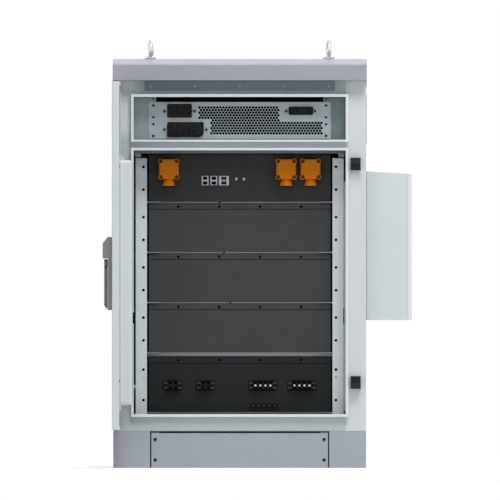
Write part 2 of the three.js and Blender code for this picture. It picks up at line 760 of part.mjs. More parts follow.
// Swing handle
function handleBase() {
  const back = doorFace - seam;
  const front = back - handleBaseDepth;
  const hoodFront = doorFace - hoodDepth;
  const y = span(lockY, handleWidth);
  const bottom = handleTop - handleHeight;
  const plate = extrude("x", roundedRectangle(y, [bottom, handleTop], handleWidth / 8), [front, back], 3);
  const hoodBottom = handleTop - hoodHeight;
  const hood = extrude("y", outline([[back, hoodBottom], [back, handleTop], [front, handleTop],
    [hoodFront, handleTop - hoodChamfer], [hoodFront, hoodBottom]]), y, 3, leverBevel);
  const lockMiddle = hoodBottom + (hoodHeight - hoodChamfer) / 2;
  const grooveRadius = spindleRadius + forkCheek;
  const grooveX = [hoodFront - overrun, hoodFront + leverBevel];
  const groove = cut(cylinder("x", grooveRadius, grooveX, [0, lockY, lockMiddle], 12),
    cylinder("x", spindleRadius, grooveX, [0, lockY, lockMiddle], 12));
  const keyway = box([hoodFront - overrun, hoodFront + forkCheek], span(lockY, forkCheek),
    span(lockMiddle, spindleRadius));
  const spindleHole = cylinder("x", spindleRadius + runningGap, [front - overrun, back + overrun],
    [0, lockY, spindleZ], 12);
  return cut(join(plate, hood), groove, keyway, spindleHole);
}

// Spindle with its round head, slotted for the lever's tongue and crossed by the lever's pin
function handleSpindle() {
  const headX = span(0, leverThickness);
  const head = cylinder("x", spindleHeadRadius, headX, [0, 0, 0], 20);
  const shaftEnd = rollerX - leverX - rodThickness;
  const shaft = cylinder("x", spindleRadius, [0, shaftEnd], [0, 0, 0], 12);
  const slot = box([headX[0] - overrun, headX[1]], span(0, leverTongue + 2 * runningGap),
    [-spindleHeadRadius - overrun, leverThickness / 2 + runningGap]);
  const pin = cylinder("y", leverPinRadius, span(0, leverTongue + 2 * overrun), [0, 0, 0], 8);
  return join(cut(join(head, shaft), slot), pin);
}

function handleLever() {
  const inner = leverThickness / 2;
  const profile = outline([[inner, -leverNeck], [-inner, -leverNeck], [-inner, leverTipChamfer - leverLength],
    [inner - leverTipThickness, -leverLength], [inner, -leverLength]]);
  const blade = extrude("y", profile, span(0, leverWidth), 3, leverBevel);
  const eye = cylinder("y", leverEyeRadius, span(0, leverTongue), [0, 0, 0], 12);
  const tongue = box(span(0, 2 * leverEyeRadius), span(0, leverTongue), [-leverNeck - 2 * leverBevel, 0]);
  const boreRadius = leverPinRadius + runningGap / 2;
  const bore = cylinder("y", boreRadius, span(0, leverTongue + 2 * overrun), [0, 0, 0], 8);
  return cut(join(blade, eye, tongue), bore);
}

// Lock gearbox inside the door, open at both ends for the rods
function lockGearbox() {
  const x = [doorFloor + seam, rollerX + rodThickness / 2 + forkCheek];
  const body = box(x, span(0, gearboxWidth), span(0, gearboxHeight));
  const channel = box(span(rollerX, rodThickness + 2 * runningGap), span(0, rodWidth + 2 * runningGap),
    span(0, gearboxHeight + 2 * overrun));
  const spindleRoom = cylinder("x", spindleRadius + runningGap, [x[0] - overrun, rollerX], [0, 0, 0], 16);
  return cut(body, channel, spindleRoom);
}

// Lock rod that rises from the gearbox to a fork with the roller's axle, round the roller's centre
function lockRod(length) {
  const forkInner = rollerWidth / 2 + runningGap;
  const forkX = span(0, rodThickness + 2 * overrun);
  const forkFoot = -rollerRadius - forkCheek - overrun;
  const bar = box(span(0, rodThickness), span(0, rodWidth), [-length, forkFoot]);
  const bridge = box(forkX, span(0, 2 * forkInner + 2 * forkCheek), span(forkFoot, 2 * forkCheek));
  const cheeks = [-1, 1].map((side) => box(forkX, span(side * (forkInner + forkCheek / 2), forkCheek),
    [forkFoot, rollerAxle + forkCheek / 2]));
  const axle = cylinder("y", rollerAxle, span(0, 2 * forkInner + forkCheek), [0, 0, 0], 8);
  return join(bar, bridge, ...cheeks, axle);
}

function rodRoller() {
  const body = cylinder("y", rollerRadius, span(0, rollerWidth), [0, 0, 0], 16);
  const bore = cylinder("y", rollerAxle + runningGap, span(0, rollerWidth + 2 * overrun), [0, 0, 0], 8);
  return cut(body, bore);
}

// Keeper on the frame: two cheeks with a bridge over the outer half, round its centre
function lockKeeper() {
  const base = box(span(0, keeperWidth), [-keeperBase - seam, -seam], span(0, keeperHeight));
  const cheeks = [-1, 1].map((side) => box(span(side * (keeperWidth - keeperCheek) / 2, keeperCheek),
    [-keeperDepth, -seam], span(0, keeperHeight)));
  const half = keeperHeight / 2;
  const bridge = box(span(0, keeperWidth), [-keeperDepth, keeperBridge - keeperDepth], [0, half]);
  const wall = box(span(0, keeperWidth), [-keeperDepth, -seam], [half - keeperBase, half]);
  return join(base, ...cheeks, bridge, wall);
}

// Rack side: a side sheet with the uprights' faces and the shelves of the five units
function rackSide(side) {
  const inner = rackOpening / 2;
  const across = (a, b) => [side * a, side * b].sort((p, q) => p - q);
  const rearPlane = rackPlane + unitDepth - rearUprightInset;
  const z = [plinthHeight + wallSheet + 2 * seam, rackTop - uprightDrop];
  const face = rectangle(across(inner, rackOutside), z);
  for (const level of unitLevels) {
    for (const rise of uprightHoleRises) {
      face.holes.push(polygonHole(side * holeColumn, level + rise, railHole / 2, 5));
    }
  }
  const web = rectangle([rackPlane, rearPlane], z);
  const supports = unitLevels.map((level) => box(across(inner - supportReach, inner + uprightSheet / 2),
    [rackPlane + supportStart, rearPlane - supportStart], [level - seam - uprightSheet, level - seam]));
  const wallX = across(inner + uprightSheet / 2, halfBody - wallSheet - seam);
  const tabZ = [plinthHeight + wallTabRise - uprightSheet, plinthHeight + wallTabRise];
  const tabs = [rackPlane, rearPlane - wallTabDepth].map((y) => box(wallX, [y, y + wallTabDepth], tabZ));
  const rearFace = box(across(inner, rackOutside), [rearPlane - uprightSheet, rearPlane], z);
  return join(extrude("x", web, across(inner, inner + uprightSheet)),
    extrude("y", face, [rackPlane, rackPlane + uprightSheet]), rearFace, ...supports, ...tabs);
}

// Rack units, each with the front at y = 0 and its floor at z = 0
function unitBody(height, lip) {
  const x = span(0, unitWidth);
  const body = box(x, [0, unitDepth], [0, height]);
  if (lip === 0) return body;
  const apron = box(x, [-lidProud, overrun], [height - lip, height]);
  const grooveZ = [height - lip - lidGroove, height - lip];
  const groove = box(span(0, unitWidth + overrun), [-overrun, lidProud], grooveZ);
  const holePlaces = Array.from({ length: lidHoles }, (_, i) => lidHoleSpacing * (i - (lidHoles - 1) / 2));
  const holes = holePlaces.map((place) => cylinder("y", lidHole / 2,
    [-lidProud - overrun, lidProud + overrun], [place, 0, height - lidHoleDrop], 5));
  return cut(join(body, apron), groove, ...holes);
}

function controlUnit() {
  const room = portRanges();
  const cavity = box(room.x, [portSkin, portSkin + portRoom], room.z);
  const windows = portOutlines(seam).map(([x, z]) => box(x, [-overrun, portSkin + overrun], z));
  const buttonHoles = buttonPlaces.map((x) => cylinder("y", buttonRadius + runningGap,
    [-overrun, buttonLength + buttonTravel], [x, 0, buttonRise], 16));
  return cut(unitBody(controlHeight, 0), cavity, ...windows, ...buttonHoles);
}

// The jacks' outlines on the control unit's front, grown by a clearance
function portOutlines(clearance) {
  const grown = 2 * clearance;
  return [
    ...jackPlaces.map((x) => [span(x, jackWidth + grown), span(jackRise, jackHeight + grown)]),
    [span(widePortPlace, widePortWidth + grown), span(jackRise, jackHeight + grown)],
  ];
}

function portRanges() {
  return {
    x: [jackPlaces[0] - jackWidth, widePortPlace + widePortWidth],
    z: span(jackRise, jackHeight + 2 * portSkin),
  };
}

// Board behind the control unit's front, with its three jacks
function portBoard() {
  const room = portRanges();
  const back = portSkin + portRoom - seam;
  const inset = (range) => [range[0] + seam, range[1] - seam];
  const board = box(inset(room.x), [back - portBoardThickness, back], inset(room.z));
  const jacks = portOutlines(0).map(([x, z]) => box(x, [-portProud, back - portBoardThickness / 2], z));
  const sockets = jackPlaces.flatMap((x) => [-1, 1].map((side) => jackSocket(x, side)));
  const wideSockets = [-1, 1].map((side) => wideSocket(side));
  return cut(join(board, ...jacks), ...sockets, ...wideSockets);
}

function jackSocket(x, side) {
  const middle = jackRise + side * jackHeight / 4;
  const latch = jackSocketWidth / 3;
  const depth = [-portProud - overrun, jackSocketDepth];
  return join(box(span(x, jackSocketWidth), depth, span(middle, jackSocketHeight)),
    box(span(x, latch), depth, span(middle + side * overrun, jackSocketHeight + overrun)));
}

function wideSocket(side) {
  const middle = jackRise + side * jackHeight / 4;
  const half = widePortSocket / 2;
  const shape = outline([[widePortPlace - half, middle + side * jackSocketHeight / 2],
    [widePortPlace + half, middle + side * jackSocketHeight / 2],
    [widePortPlace + half - widePortTaper, middle - side * jackSocketHeight / 2],
    [widePortPlace - half + widePortTaper, middle - side * jackSocketHeight / 2]]);
  return extrude("y", shape, [-portProud - overrun, jackSocketDepth]);
}

function pushButton() {
  return revolve([[0, 0], [buttonRadius, 0], [buttonRadius, buttonLength + buttonProud - overrun],
    [buttonRadius - overrun, buttonLength + buttonProud], [0, buttonLength + buttonProud]], 12);
}

// Power connector: a moulded cover with four screw bosses and a bell-shaped outlet below
function powerConnector() {
  const half = connectorBody / 2;
  const low = half - connectorChamfer;
  const shape = outline([[half, low], [low, half], [-low, half], [-half, low],
    [-half, -low], [-low, -half], [low, -half], [half, -low]]);
  const body = extrude("y", shape, [-connectorDepth, -seam], 1, connectorBevel);
  const corners = [-1, 1].flatMap((a) => [-1, 1].map((b) =>
    [a * connectorBossSpacing / 2, b * connectorBossSpacing / 2]));
  const bosses = corners.map(([x, z]) => cylinder("y", connectorBossRadius,
    [-connectorBossDepth, -seam - connectorBevel], [x, 0, z], 8));
  const seats = corners.map(([x, z]) => cylinder("y", connectorSeatRadius,
    [-connectorDepth - overrun, connectorSeatDepth - connectorDepth], [x, 0, z], 6));
  const mouthZ = -half - bellHeight;
  const waistZ = -half - bellHeight / 4;
  const bell = revolve([[0, mouthZ], [bellMouth, mouthZ], [bellRim, mouthZ + bellHeight / 4],
    [bellNeck, waistZ], [bellNeck, -half + connectorChamfer], [0, -half + connectorChamfer]], 12);
  const bore = cylinder("z", bellBore, [mouthZ - overrun, mouthZ + bellBoreDepth], [0, 0, 0], 10);
  const lowered = (solid) => solid.translate(0, -connectorDepth / 2, 0);
  return cut(join(body, ...bosses, lowered(bell)), ...seats, lowered(bore));
}

// Barrier terminal block with a number of poles, centred on the junction unit's front
function terminalBlock(poles) {
  const poleWidth = poles * terminalPitch;
  const width = poleWidth + 2 * terminalEar;
  const shape = rectangle(span(0, width), span(0, terminalHeight));
  for (const side of [-1, 1]) {
    shape.holes.push(polygonHole(side * (width - terminalEar) / 2, 0, terminalEarHole, 5));
  }
  const base = extrude("y", shape, [-terminalBase, -seam]);
  const poleX = Array.from({ length: poles }, (_, i) => terminalPitch * (i - (poles - 1) / 2));
  const barrierX = Array.from({ length: poles + 1 }, (_, i) => terminalPitch * (i - poles / 2));
  const barriers = barrierX.map((x) => box(span(x, terminalBarrier),
    [-terminalDepth, -terminalBase + overrun], span(0, terminalBarrierHeight)));
  const screws = poleX.map((x) => cylinder("y", terminalScrewRadius,
    [-terminalBase - terminalScrewRise, -terminalBase + overrun], [x, 0, 0], 8));
  return join(base, ...barriers, ...screws);
}

// Earth comb: a bar that carries a row of upright loops
function earthComb() {
  const length = combLoops * combPitch + combPitch / 2;
  const bar = box(span(0, length), [-combDepth, -seam], [0, combBar]);
  const outer = combLoopInner + combLoopWire;
  const legTop = combBar + combLegHeight;
  const shape = new THREE.Shape();
  shape.moveTo(-outer, 0);
  shape.lineTo(outer, 0);
  shape.absarc(0, legTop, outer, 0, Math.PI);
  const hole = new THREE.Path();
  hole.moveTo(-combLoopInner, combBar);
  hole.lineTo(combLoopInner, combBar);
  hole.absarc(0, legTop, combLoopInner, 0, Math.PI);
  shape.holes.push(hole);
  const loop = extrude("y", shape, [-combDepth + overrun, -combDepth / 2], 2);
  const places = Array.from({ length: combLoops }, (_, i) => combPitch * (i - (combLoops - 1) / 2));
  return join(bar, ...places.map((x) => loop.translate(x, 0, 0)));
}

// Rail that carries the power unit's ears
function unitRail(side) {
  const across = (a, b) => [side * a, side * b].sort((p, q) => p - q);
  const inner = unitWidth / 2 - earWidth;
  const outer = halfBody - wallSheet - seam;
  const z = [shelfHeight + wallSheet + 2 * seam, bodyTop - wallSheet - 2 * seam];
  const face = rectangle(across(inner, outer), z);
  for (const rise of [...earHoleRises, powerPanelHeight + spareHoleRise]) {
    face.holes.push(polygonHole(side * earHoleColumn, powerPanelBottom + rise, earHole / 2, 6));
  }
  const plane = unitRailSetback;
  return join(extrude("y", face, [plane, plane + wallSheet]),
    box(across(outer - wallSheet, outer), [plane, plane + unitRailReturn], z));
}

function powerUnitCase() {
  const x = span(0, unitWidth - 2 * powerCaseInset);
  const y = [seam + powerPanelSheet, seam + powerPanelSheet + powerCaseDepth];
  const z = [powerCaseEdge, powerPanelHeight - powerCaseEdge];
  const inset = (range) => [range[0] + powerCaseSheet, range[1] - powerCaseSheet];
  return cut(box(x, y, z), box(inset(x), [y[0] - overrun, y[1] - powerCaseSheet], inset(z)));
}

// Perforated front: rows of holes in a 60 degree pattern, between the connectors that they pass
function powerUnitFront() {
  const face = rectangle(span(0, unitWidth), [0, powerPanelHeight]);
  const firstColumn = supplyPlace[0] + supplySize[0] / 2 + perforationMargin;
  for (let row = 0; row < perforationRows; row++) {
    const z = powerPanelHeight - perforationDrop - row * perforationRowPitch;
    const [start, end] = perforatedRange(z);
    const rowStart = firstColumn + (row % 2) * perforationPitch / 2;
    const skipped = Math.max(0, Math.ceil((start - rowStart) / perforationPitch));
    for (let x = rowStart + skipped * perforationPitch; x < end; x += perforationPitch) {
      face.holes.push(polygonHole(x, z, perforation / 2, perforationSides));
    }
  }
  for (const rise of earHoleRises) {
    for (const side of [-1, 1]) face.holes.push(polygonHole(side * earHoleColumn, rise, earHole / 2, 6));
  }
  for (const [[x, z], [width, height]] of socketOutlines()) {
    face.holes.push(rectangle(span(x, width), span(z, height)));
  }
  return extrude("y", face, [0, powerPanelSheet]);
}

// Where a row of perforations starts and ends beside the connectors at its height
function perforatedRange(z) {
  const overOutput = z > outputPlace[1] + outputSize[1] / 2 + perforationTopMargin;
  const besideSignal = z > signalPlace[1] - signalSize[1] / 2 - perforationFootMargin;
  const [place, size] = overOutput ? [supplyPlace, supplySize] : [outputPlace, outputSize];
  const start = place[0] + size[0] / 2 + perforationMargin - seam;
  const end = besideSignal ? signalPlace[0] - signalSize[0] / 2 : unitWidth / 2;
  return [start, end - perforationEndMargin];
}

function socketOutlines() {
  const narrower = 2 * (socketMargin - seam);
  const sockets = [[supplyPlace, supplySize], [outputPlace, outputSize], [signalPlace, signalSize]];
  return sockets.map(([place, [width, height]]) => [place, [width - narrower, height - narrower]]);
}

// Connector through the power unit's front: a bezel, a body behind it and blind contact holes
function panelConnector(size, contacts, holeSize) {
  const [width, height] = size;
  const bezel = extrude("y", roundedRectangle(span(0, width), span(0, height), bezelRadius),
    [-socketProud, -seam], 1);
  const body = box(span(0, width - 2 * socketMargin), [-socketProud / 2, socketDepth],
    span(0, height - 2 * socketMargin));
  return cut(join(bezel, body), ...contacts.map(([xShare, zShare]) => cylinder("y", holeSize / 2,
    [-socketProud - overrun, contactDepth - socketProud], [xShare * width, 0, zShare * height], 4)));
}

const grid = (xShares, zShares) => xShares.flatMap((x) => zShares.map((z) => [x, z]));
const supplyContactShares = grid([-0.32, -0.08, 0.12, 0.37], [-0.2, 0.2]);
const signalContactShares = grid([-0.39, -0.28, -0.16, 0.27, 0.38], [-0.17, 0.17]);
const outputContactShares = [
  ...grid([-0.37, -0.2], [-0.22, 0.2]),
  [-0.02, 0.28], [-0.02, -0.12], [0.1, 0.08], [0.22, 0.28], [0.22, -0.12],
];

function outputConnector() {
  const [width, height] = outputSize;
  const corner = outline([[width / 2 - outputChamfer, -height / 2 - overrun],
    [width / 2 + overrun, -height / 2 - overrun], [width / 2 + overrun, outputChamfer - height / 2]]);
  const chamfer = extrude("y", corner, [-socketProud - overrun, -seam]);
  return cut(panelConnector(outputSize, outputContactShares, outputContactHole), chamfer);
}

// How far the cooling unit's sloping top has fallen at a depth from the wall
const coolerFallAt = (depth) => coolerTopFall * depth / (coolerDepth + coolerCover);

// Cooling unit: an outer shell that is open to its cover, and an inner body through the wall
function coolerHousing() {
  const y = [0, coolerWidth];
  const profile = (inset) => outline([[coolerFloor + inset, coolerBottom + inset],
    [coolerCoverPlane + Math.sign(inset) * overrun, coolerBottom + inset],
    [coolerCoverPlane + Math.sign(inset) * overrun, coolerTop - inset - coolerFallAt(coolerDepth)],
    [coolerFloor + inset, coolerTop - inset]]);
  const shell = cut(
    extrude("y", profile(0), y),
    extrude("y", profile(coolerSheet), [y[0] + coolerSheet, y[1] - coolerSheet]),
  );
  const openingY = [coolerOpeningInset, coolerWidth - coolerOpeningInset];
  const openingZ = [coolerBottom + coolerOpeningMargin, coolerTop - coolerOpeningMargin];
  const inset = (range, by) => [range[0] + by, range[1] - by];
  const ring = cut(
    box([coolerFloor - coolerFlange, coolerFloor + coolerSheet / 2], inset(y, coolerFlangeInset),
      [coolerBottom + coolerFlangeInset, coolerTop - coolerFlangeInset]),
    box([coolerFloor - coolerFlange - overrun, coolerFloor], openingY, openingZ),
  );
  const inner = box([rackOutside + coolerInnerGap, coolerFloor + coolerSheet / 2],
    inset(openingY, coolerOpeningGap), inset(openingZ, coolerOpeningGap));
  const motorX = [coolerFloor + coolerSheet / 2, coolerFloor + coolerSheet + fanMotorDepth];
  const motor = cylinder("x", fanMotorRadius, motorX, [0, coolerWidth / 2, fanZ], 20);
  const shaft = cylinder("x", fanShaftRadius, [motorX[1] - overrun, motorX[1] + fanShaftReach],
    [0, coolerWidth / 2, fanZ], 12);
  return join(shell, ring, inner, motor, shaft);
}

function coolerGrille() {
  const x = [coolerCoverPlane + seam, coolerCoverPlane + seam + coolerCover];
  const shape = outline([[x[0], coolerBottom], [x[1], coolerBottom],
    [x[1], coolerTop - coolerTopFall], [x[0], coolerTop - coolerFallAt(coolerDepth)]]);
  const inset = coolerSheet + coolerFlangeInset;
  const tray = cut(
    extrude("y", shape, [0, coolerWidth], 3, gutterChamfer),
    box([x[0] - overrun, x[1] - coolerSheet], [inset, coolerWidth - inset],
      [coolerBottom + inset, coolerTop - inset - coolerTopFall]),
  );
  const through = [x[0] - overrun, x[1] + overrun];
  const louvreTop = coolerTop - coolerTopFall - louvreTopDrop;
  const louvreRows = Math.ceil((louvreTop - fanZ - fanGuardRadius - louvreHeight) / louvrePitch);
  const louvres = Array.from({ length: louvreRows }, (_, i) => box(through,
    span(coolerWidth / 2, louvreWidth), span(louvreTop - i * louvrePitch, louvreHeight)));
  const guardRows = Math.floor((fanGuardRadius - louvreHeight) / louvrePitch);
  const guard = Array.from({ length: 2 * guardRows + 1 }, (_, i) => {
    const offset = (i - guardRows) * louvrePitch;
    const edge = Math.abs(offset) + louvreHeight / 2;
    const half = Math.sqrt(fanGuardRadius ** 2 - edge ** 2);
    return box(through, span(coolerWidth / 2, 2 * half), span(fanZ + offset, louvreHeight));
  });
  return cut(tray, ...louvres, ...guard);
}

// Fan wheel: a hub with twisted blades, round the motor's shaft
function coolerFan() {
  const hub = cylinder("x", fanHubRadius, [0, fanHubDepth], [0, 0, 0], 16);
  const bore = cylinder("x", fanShaftRadius + runningGap, [-overrun, fanShaftReach], [0, 0, 0], 8);
  const root = fanHubRadius - fanRootDepth;
  const length = fanRadius - root;
  const twistSteps = 2;
  const blade = new THREE.BoxGeometry(fanBladeThickness, fanChord, length, 1, 1, twistSteps);
  const places = blade.attributes.position;
  for (let i = 0; i < places.count; i++) {
    const share = (places.getZ(i) + length / 2) / length;
    const pitch = THREE.MathUtils.degToRad(THREE.MathUtils.lerp(fanRootPitch, fanTipPitch, share));
    const chord = places.getY(i) * THREE.MathUtils.lerp(fanRootChordShare, 1, share);
    const across = places.getX(i);
    places.setXYZ(i, across * Math.cos(pitch) + chord * Math.sin(pitch),
      chord * Math.cos(pitch) - across * Math.sin(pitch), root + share * length);
  }
  blade.translate(fanHubDepth / 2, 0, 0);
  const wheel = Array.from({ length: fanBlades }, (_, i) =>
    solidOf(blade.clone().rotateX(2 * Math.PI * i / fanBlades)));
  return cut(join(hub, ...wheel), bore);
}

// Assembly
const object = new THREE.Group();
const cabinet = groupAt(object, 0, -plinthFlange / 2, 0);

addPiece(cabinet, "plinth_frame", plinthFrame(), plinthGrey());
addPiece(cabinet, "plinth_front_panel", plinthFrontPanel(), plinthGrey());
addPiece(cabinet, "base_plate", basePlate(), lightGrey(), [0, 0, plinthHeight + seam]);
const ventOpening = [
  [ventInset, ventInset + ventWidth],
  [upperOpening[0] + ventMargin, upperOpening[1] - ventMargin],
];
const coolerOpening = [
  [coolerStart + coolerOpeningInset, coolerStart + coolerWidth - coolerOpeningInset],
  [coolerBottom + coolerOpeningMargin, coolerTop - coolerOpeningMargin],
];
addPiece(cabinet, "left_wall", sideWall(-1, []), lightGrey());
addPiece(cabinet, "right_wall", sideWall(1, [ventOpening, coolerOpening]), lightGrey());
addPiece(cabinet, "rear_panel", rearPanel(), lightGrey(), [0, bodyDepth - wallSheet, 0]);
addPiece(cabinet, "top_plate", topPlate(), lightGrey(), [0, 0, bodyTop]);
addPiece(cabinet, "front_frame", frontFrame(), lightGrey());
addPiece(cabinet, "lower_gutter_frame", gutterFrame(lowerOpening, gutterSideBar, gutterBar), lightGrey());
addPiece(cabinet, "upper_gutter_frame", gutterFrame(upperOpening, gutterBar, gutterSideBar), lightGrey());
addPiece(cabinet, "compartment_shelf", compartmentShelf(), lightGrey());
addPiece(cabinet, "side_vent_cover", sideVentCover(), lightGrey(),
  [halfBody + seam, ventInset, ventOpening[1][0]]);
addPiece(cabinet, "roof_cover", roofCover(), roofGrey());
const eyeNames = ["front_left", "front_right", "rear_left", "rear_right"];
eyePlaces().forEach(([x, y], i) => {
  const eye = addPiece(cabinet, `lifting_eye_${eyeNames[i]}`, liftingEye(), steel(), [x, y, roofTop + seam]);
  eye.rotation.z = THREE.MathUtils.degToRad(eyeTurn);
});

// The door stands open at a right angle, round its hinge axis
const door = groupAt(cabinet, hingeX, -hingeStandoff, 0);
addPiece(door, "door_panel", doorPanel(), lightGrey());
addPiece(door, "door_liner", doorLiner(), lightGrey());
addPiece(door, "door_seal", doorSeal(), rubber());
["hinge_upper", "hinge_lower"].forEach((name, i) =>
  addPiece(door, name, hingeArm(), portGrey(), [0, 0, hingeHeights[i]]));
addPiece(door, "handle_base", handleBase(), handleGrey());
const lock = groupAt(door, 0, lockY, 0);
addPiece(lock, "handle_spindle", handleSpindle(), leverGrey(), [leverX, 0, spindleZ]);
addPiece(lock, "handle_lever", handleLever(), leverGrey(), [leverX, 0, spindleZ]);
addPiece(lock, "lock_gearbox", lockGearbox(), steel(), [0, 0, spindleZ]);
for (const [name, side] of [["upper", 1], ["lower", -1]]) {
  const end = groupAt(lock, rollerX, 0, lockHeight + side * rollerReach);
  end.rotation.x = side > 0 ? 0 : Math.PI;
  const length = rollerReach - side * spindleRise - rodEndGap;
  addPiece(end, `lock_rod_${name}`, lockRod(length), steel());
  addPiece(end, `rod_roller_${name}`, rodRoller(), deepBlack());
}
const keeperOffset = rollerReach + rollerRadius + overrun;
for (const [name, side] of [["upper", 1], ["lower", -1]]) {
  const keeper = addPiece(cabinet, `keeper_${name}`, lockKeeper(), deepBlack(),
    [lockX, 0, lockHeight + side * keeperOffset]);
  keeper.rotation.y = side > 0 ? 0 : Math.PI;
}

// Lower compartment
addPiece(cabinet, "rack_side_left", rackSide(-1), railGrey());
addPiece(cabinet, "rack_side_right", rackSide(1), railGrey());
const junction = groupAt(cabinet, 0, unitFace, junctionBottom);
const terminals = [...twoPolePlaces.map((x) => [x, 2]), ...fourPolePlaces.map((x) => [x, 4])];
addPiece(junction, "junction_unit", unitBody(junctionHeight, junctionLidLip), deepBlack());
terminals.forEach(([x, poles], i) => addPiece(junction, `terminal_block_${i + 1}`, terminalBlock(poles),
  deepBlack(), [x, 0, terminalRise]));
addPiece(junction, "earth_comb", earthComb(), deepBlack(), [combPlace, 0, combRise]);
packLevels.forEach((level, i) => addPiece(cabinet, `battery_pack_${i + 1}`, unitBody(packHeight, lidLip),
  unitBlack(), [0, unitFace, level]));
const control = groupAt(cabinet, 0, unitFace, controlBottom);
addPiece(control, "control_unit", controlUnit(), unitBlack());
["left", "middle", "right"].forEach((name, i) => addPiece(control, `power_connector_${name}`,
  powerConnector(), orange(), [powerConnectorPlaces[i], 0, controlHeight - powerConnectorDrop]));
addPiece(control, "port_board", portBoard(), portGrey());
["start_button", "reset_button"].forEach((name, i) => {
  const place = [buttonPlaces[i], buttonLength, buttonRise];
  const button = addPiece(control, name, pushButton(), portGrey(), place);
  button.rotation.x = Math.PI / 2;
});

// Upper compartment
addPiece(cabinet, "unit_rail_left", unitRail(-1), panelGrey());
addPiece(cabinet, "unit_rail_right", unitRail(1), panelGrey());
const power = groupAt(cabinet, 0, powerFace, powerPanelBottom);
addPiece(power, "power_unit_case", powerUnitCase(), panelGrey());
addPiece(power, "power_unit_front", powerUnitFront(), panelGrey());
const panelConnectors = [
  ["supply_connector", supplyPlace, panelConnector(supplySize, supplyContactShares, contactHole)],
  ["output_connector", outputPlace, outputConnector()],
  ["signal_connector", signalPlace, panelConnector(signalSize, signalContactShares, contactHole)],
];
for (const [name, [x, z], solid] of panelConnectors) addPiece(power, name, solid, deepBlack(), [x, 0, z]);

// Cooling unit
const cooler = groupAt(cabinet, 0, coolerStart, 0);
addPiece(cooler, "cooler_housing", coolerHousing(), lightGrey());
addPiece(cooler, "cooler_grille", coolerGrille(), lightGrey());
addPiece(cooler, "cooler_fan", coolerFan(), deepBlack(),
  [coolerFloor + coolerSheet + fanMotorDepth + overrun, coolerWidth / 2, fanZ]);

export default object;
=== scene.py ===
"""Looks of the outdoor battery cabinet, in the CAD frame: +Z up, front to -Y.

Sizes of pieces are in millimetres. They become metres in add_faces, block, plate_with_holes and
toned.
"""
import math
import random

import bmesh
import bpy
from mathutils import Matrix, Vector


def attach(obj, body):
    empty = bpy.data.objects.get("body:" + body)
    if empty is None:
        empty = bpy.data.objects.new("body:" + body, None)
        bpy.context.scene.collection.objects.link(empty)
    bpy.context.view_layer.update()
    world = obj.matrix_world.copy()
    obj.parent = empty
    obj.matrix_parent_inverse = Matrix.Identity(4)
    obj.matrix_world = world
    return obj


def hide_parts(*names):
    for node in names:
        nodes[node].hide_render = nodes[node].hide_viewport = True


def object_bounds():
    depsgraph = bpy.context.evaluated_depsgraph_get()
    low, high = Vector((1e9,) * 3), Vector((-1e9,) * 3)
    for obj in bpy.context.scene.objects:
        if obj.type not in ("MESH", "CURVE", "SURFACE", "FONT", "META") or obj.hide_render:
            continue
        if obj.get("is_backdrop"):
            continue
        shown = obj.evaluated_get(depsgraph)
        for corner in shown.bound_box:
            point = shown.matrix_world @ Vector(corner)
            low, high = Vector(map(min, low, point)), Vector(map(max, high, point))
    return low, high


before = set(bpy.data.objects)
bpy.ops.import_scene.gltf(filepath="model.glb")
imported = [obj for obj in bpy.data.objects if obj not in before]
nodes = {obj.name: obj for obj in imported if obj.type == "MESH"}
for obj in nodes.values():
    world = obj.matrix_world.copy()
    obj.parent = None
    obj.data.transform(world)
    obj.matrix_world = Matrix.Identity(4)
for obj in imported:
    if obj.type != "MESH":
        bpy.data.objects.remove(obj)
random.seed(7)


def plain(bounds):
    return [[float(value) for value in corner] for corner in bounds]


cad_box = plain(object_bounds())

MM = 0.001
SIDES = (-1, 1)
FRONT = -25.0              # the body's front plane


# ---------------------------------------------------------------- materials
EDGE_RADIUS = 0.0012       # of the rubbed edges, m
GRAIN_HEIGHT = 0.0003      # of the bump, m
GLOSS_SPREAD = 0.07        # of the roughness, either way
DUST = (0.42, 0.4, 0.37, 1.0)


def linear(hex_colour):
    """A colour read as it looks on a screen, given to the shader as linear light."""
    value = hex_colour.lstrip("#")
    out = []
    for i in (0, 2, 4):
        c = int(value[i:i + 2], 16) / 255
        out.append(c / 12.92 if c <= 0.04045 else ((c + 0.055) / 1.055) ** 2.4)
    return (*out, 1.0)


def link(tree, a, b):
    tree.links.new(a, b)


def ramp(tree, source, low, high, out_low, out_high):
    node = tree.nodes.new("ShaderNodeMapRange")
    node.inputs["From Min"].default_value = low
    node.inputs["From Max"].default_value = high
    node.inputs["To Min"].default_value = out_low
    node.inputs["To Max"].default_value = out_high
    link(tree, source, node.inputs["Value"])
    return node.outputs["Result"]


def noise(tree, vector, scale, detail, rough):
    node = tree.nodes.new("ShaderNodeTexNoise")
    node.inputs["Scale"].default_value = scale
    node.inputs["Detail"].default_value = detail
    node.inputs["Roughness"].default_value = rough
    link(tree, vector, node.inputs["Vector"])
    return node.outputs["Fac"]


def maths(tree, operation, a, b):
    """One Math node on a socket and another socket or number."""
    node = tree.nodes.new("ShaderNodeMath")
    node.operation = operation
    link(tree, a, node.inputs[0])
    if isinstance(b, float):
        node.inputs[1].default_value = b
    else:
        link(tree, b, node.inputs[1])
    return node.outputs["Value"]


def mix(tree, factor, a, b):
    """Mixes two colours, each a tuple or a socket."""
    node = tree.nodes.new("ShaderNodeMix")
    node.data_type = "RGBA"
    for name, value in (("A", a), ("B", b)):
        socket = [s for s in node.inputs if s.name == name and s.type == "RGBA"][0]
        if isinstance(value, tuple):
            socket.default_value = value
        else:
            link(tree, value, socket)
    link(tree, factor, node.inputs["Factor"])
    return [s for s in node.outputs if s.type == "RGBA"][0]


def scaled(tree, vector, scale):
    node = tree.nodes.new("ShaderNodeMapping")
    node.inputs["Scale"].default_value = scale
    link(tree, vector, node.inputs["Vector"])
    return node.outputs["Vector"]


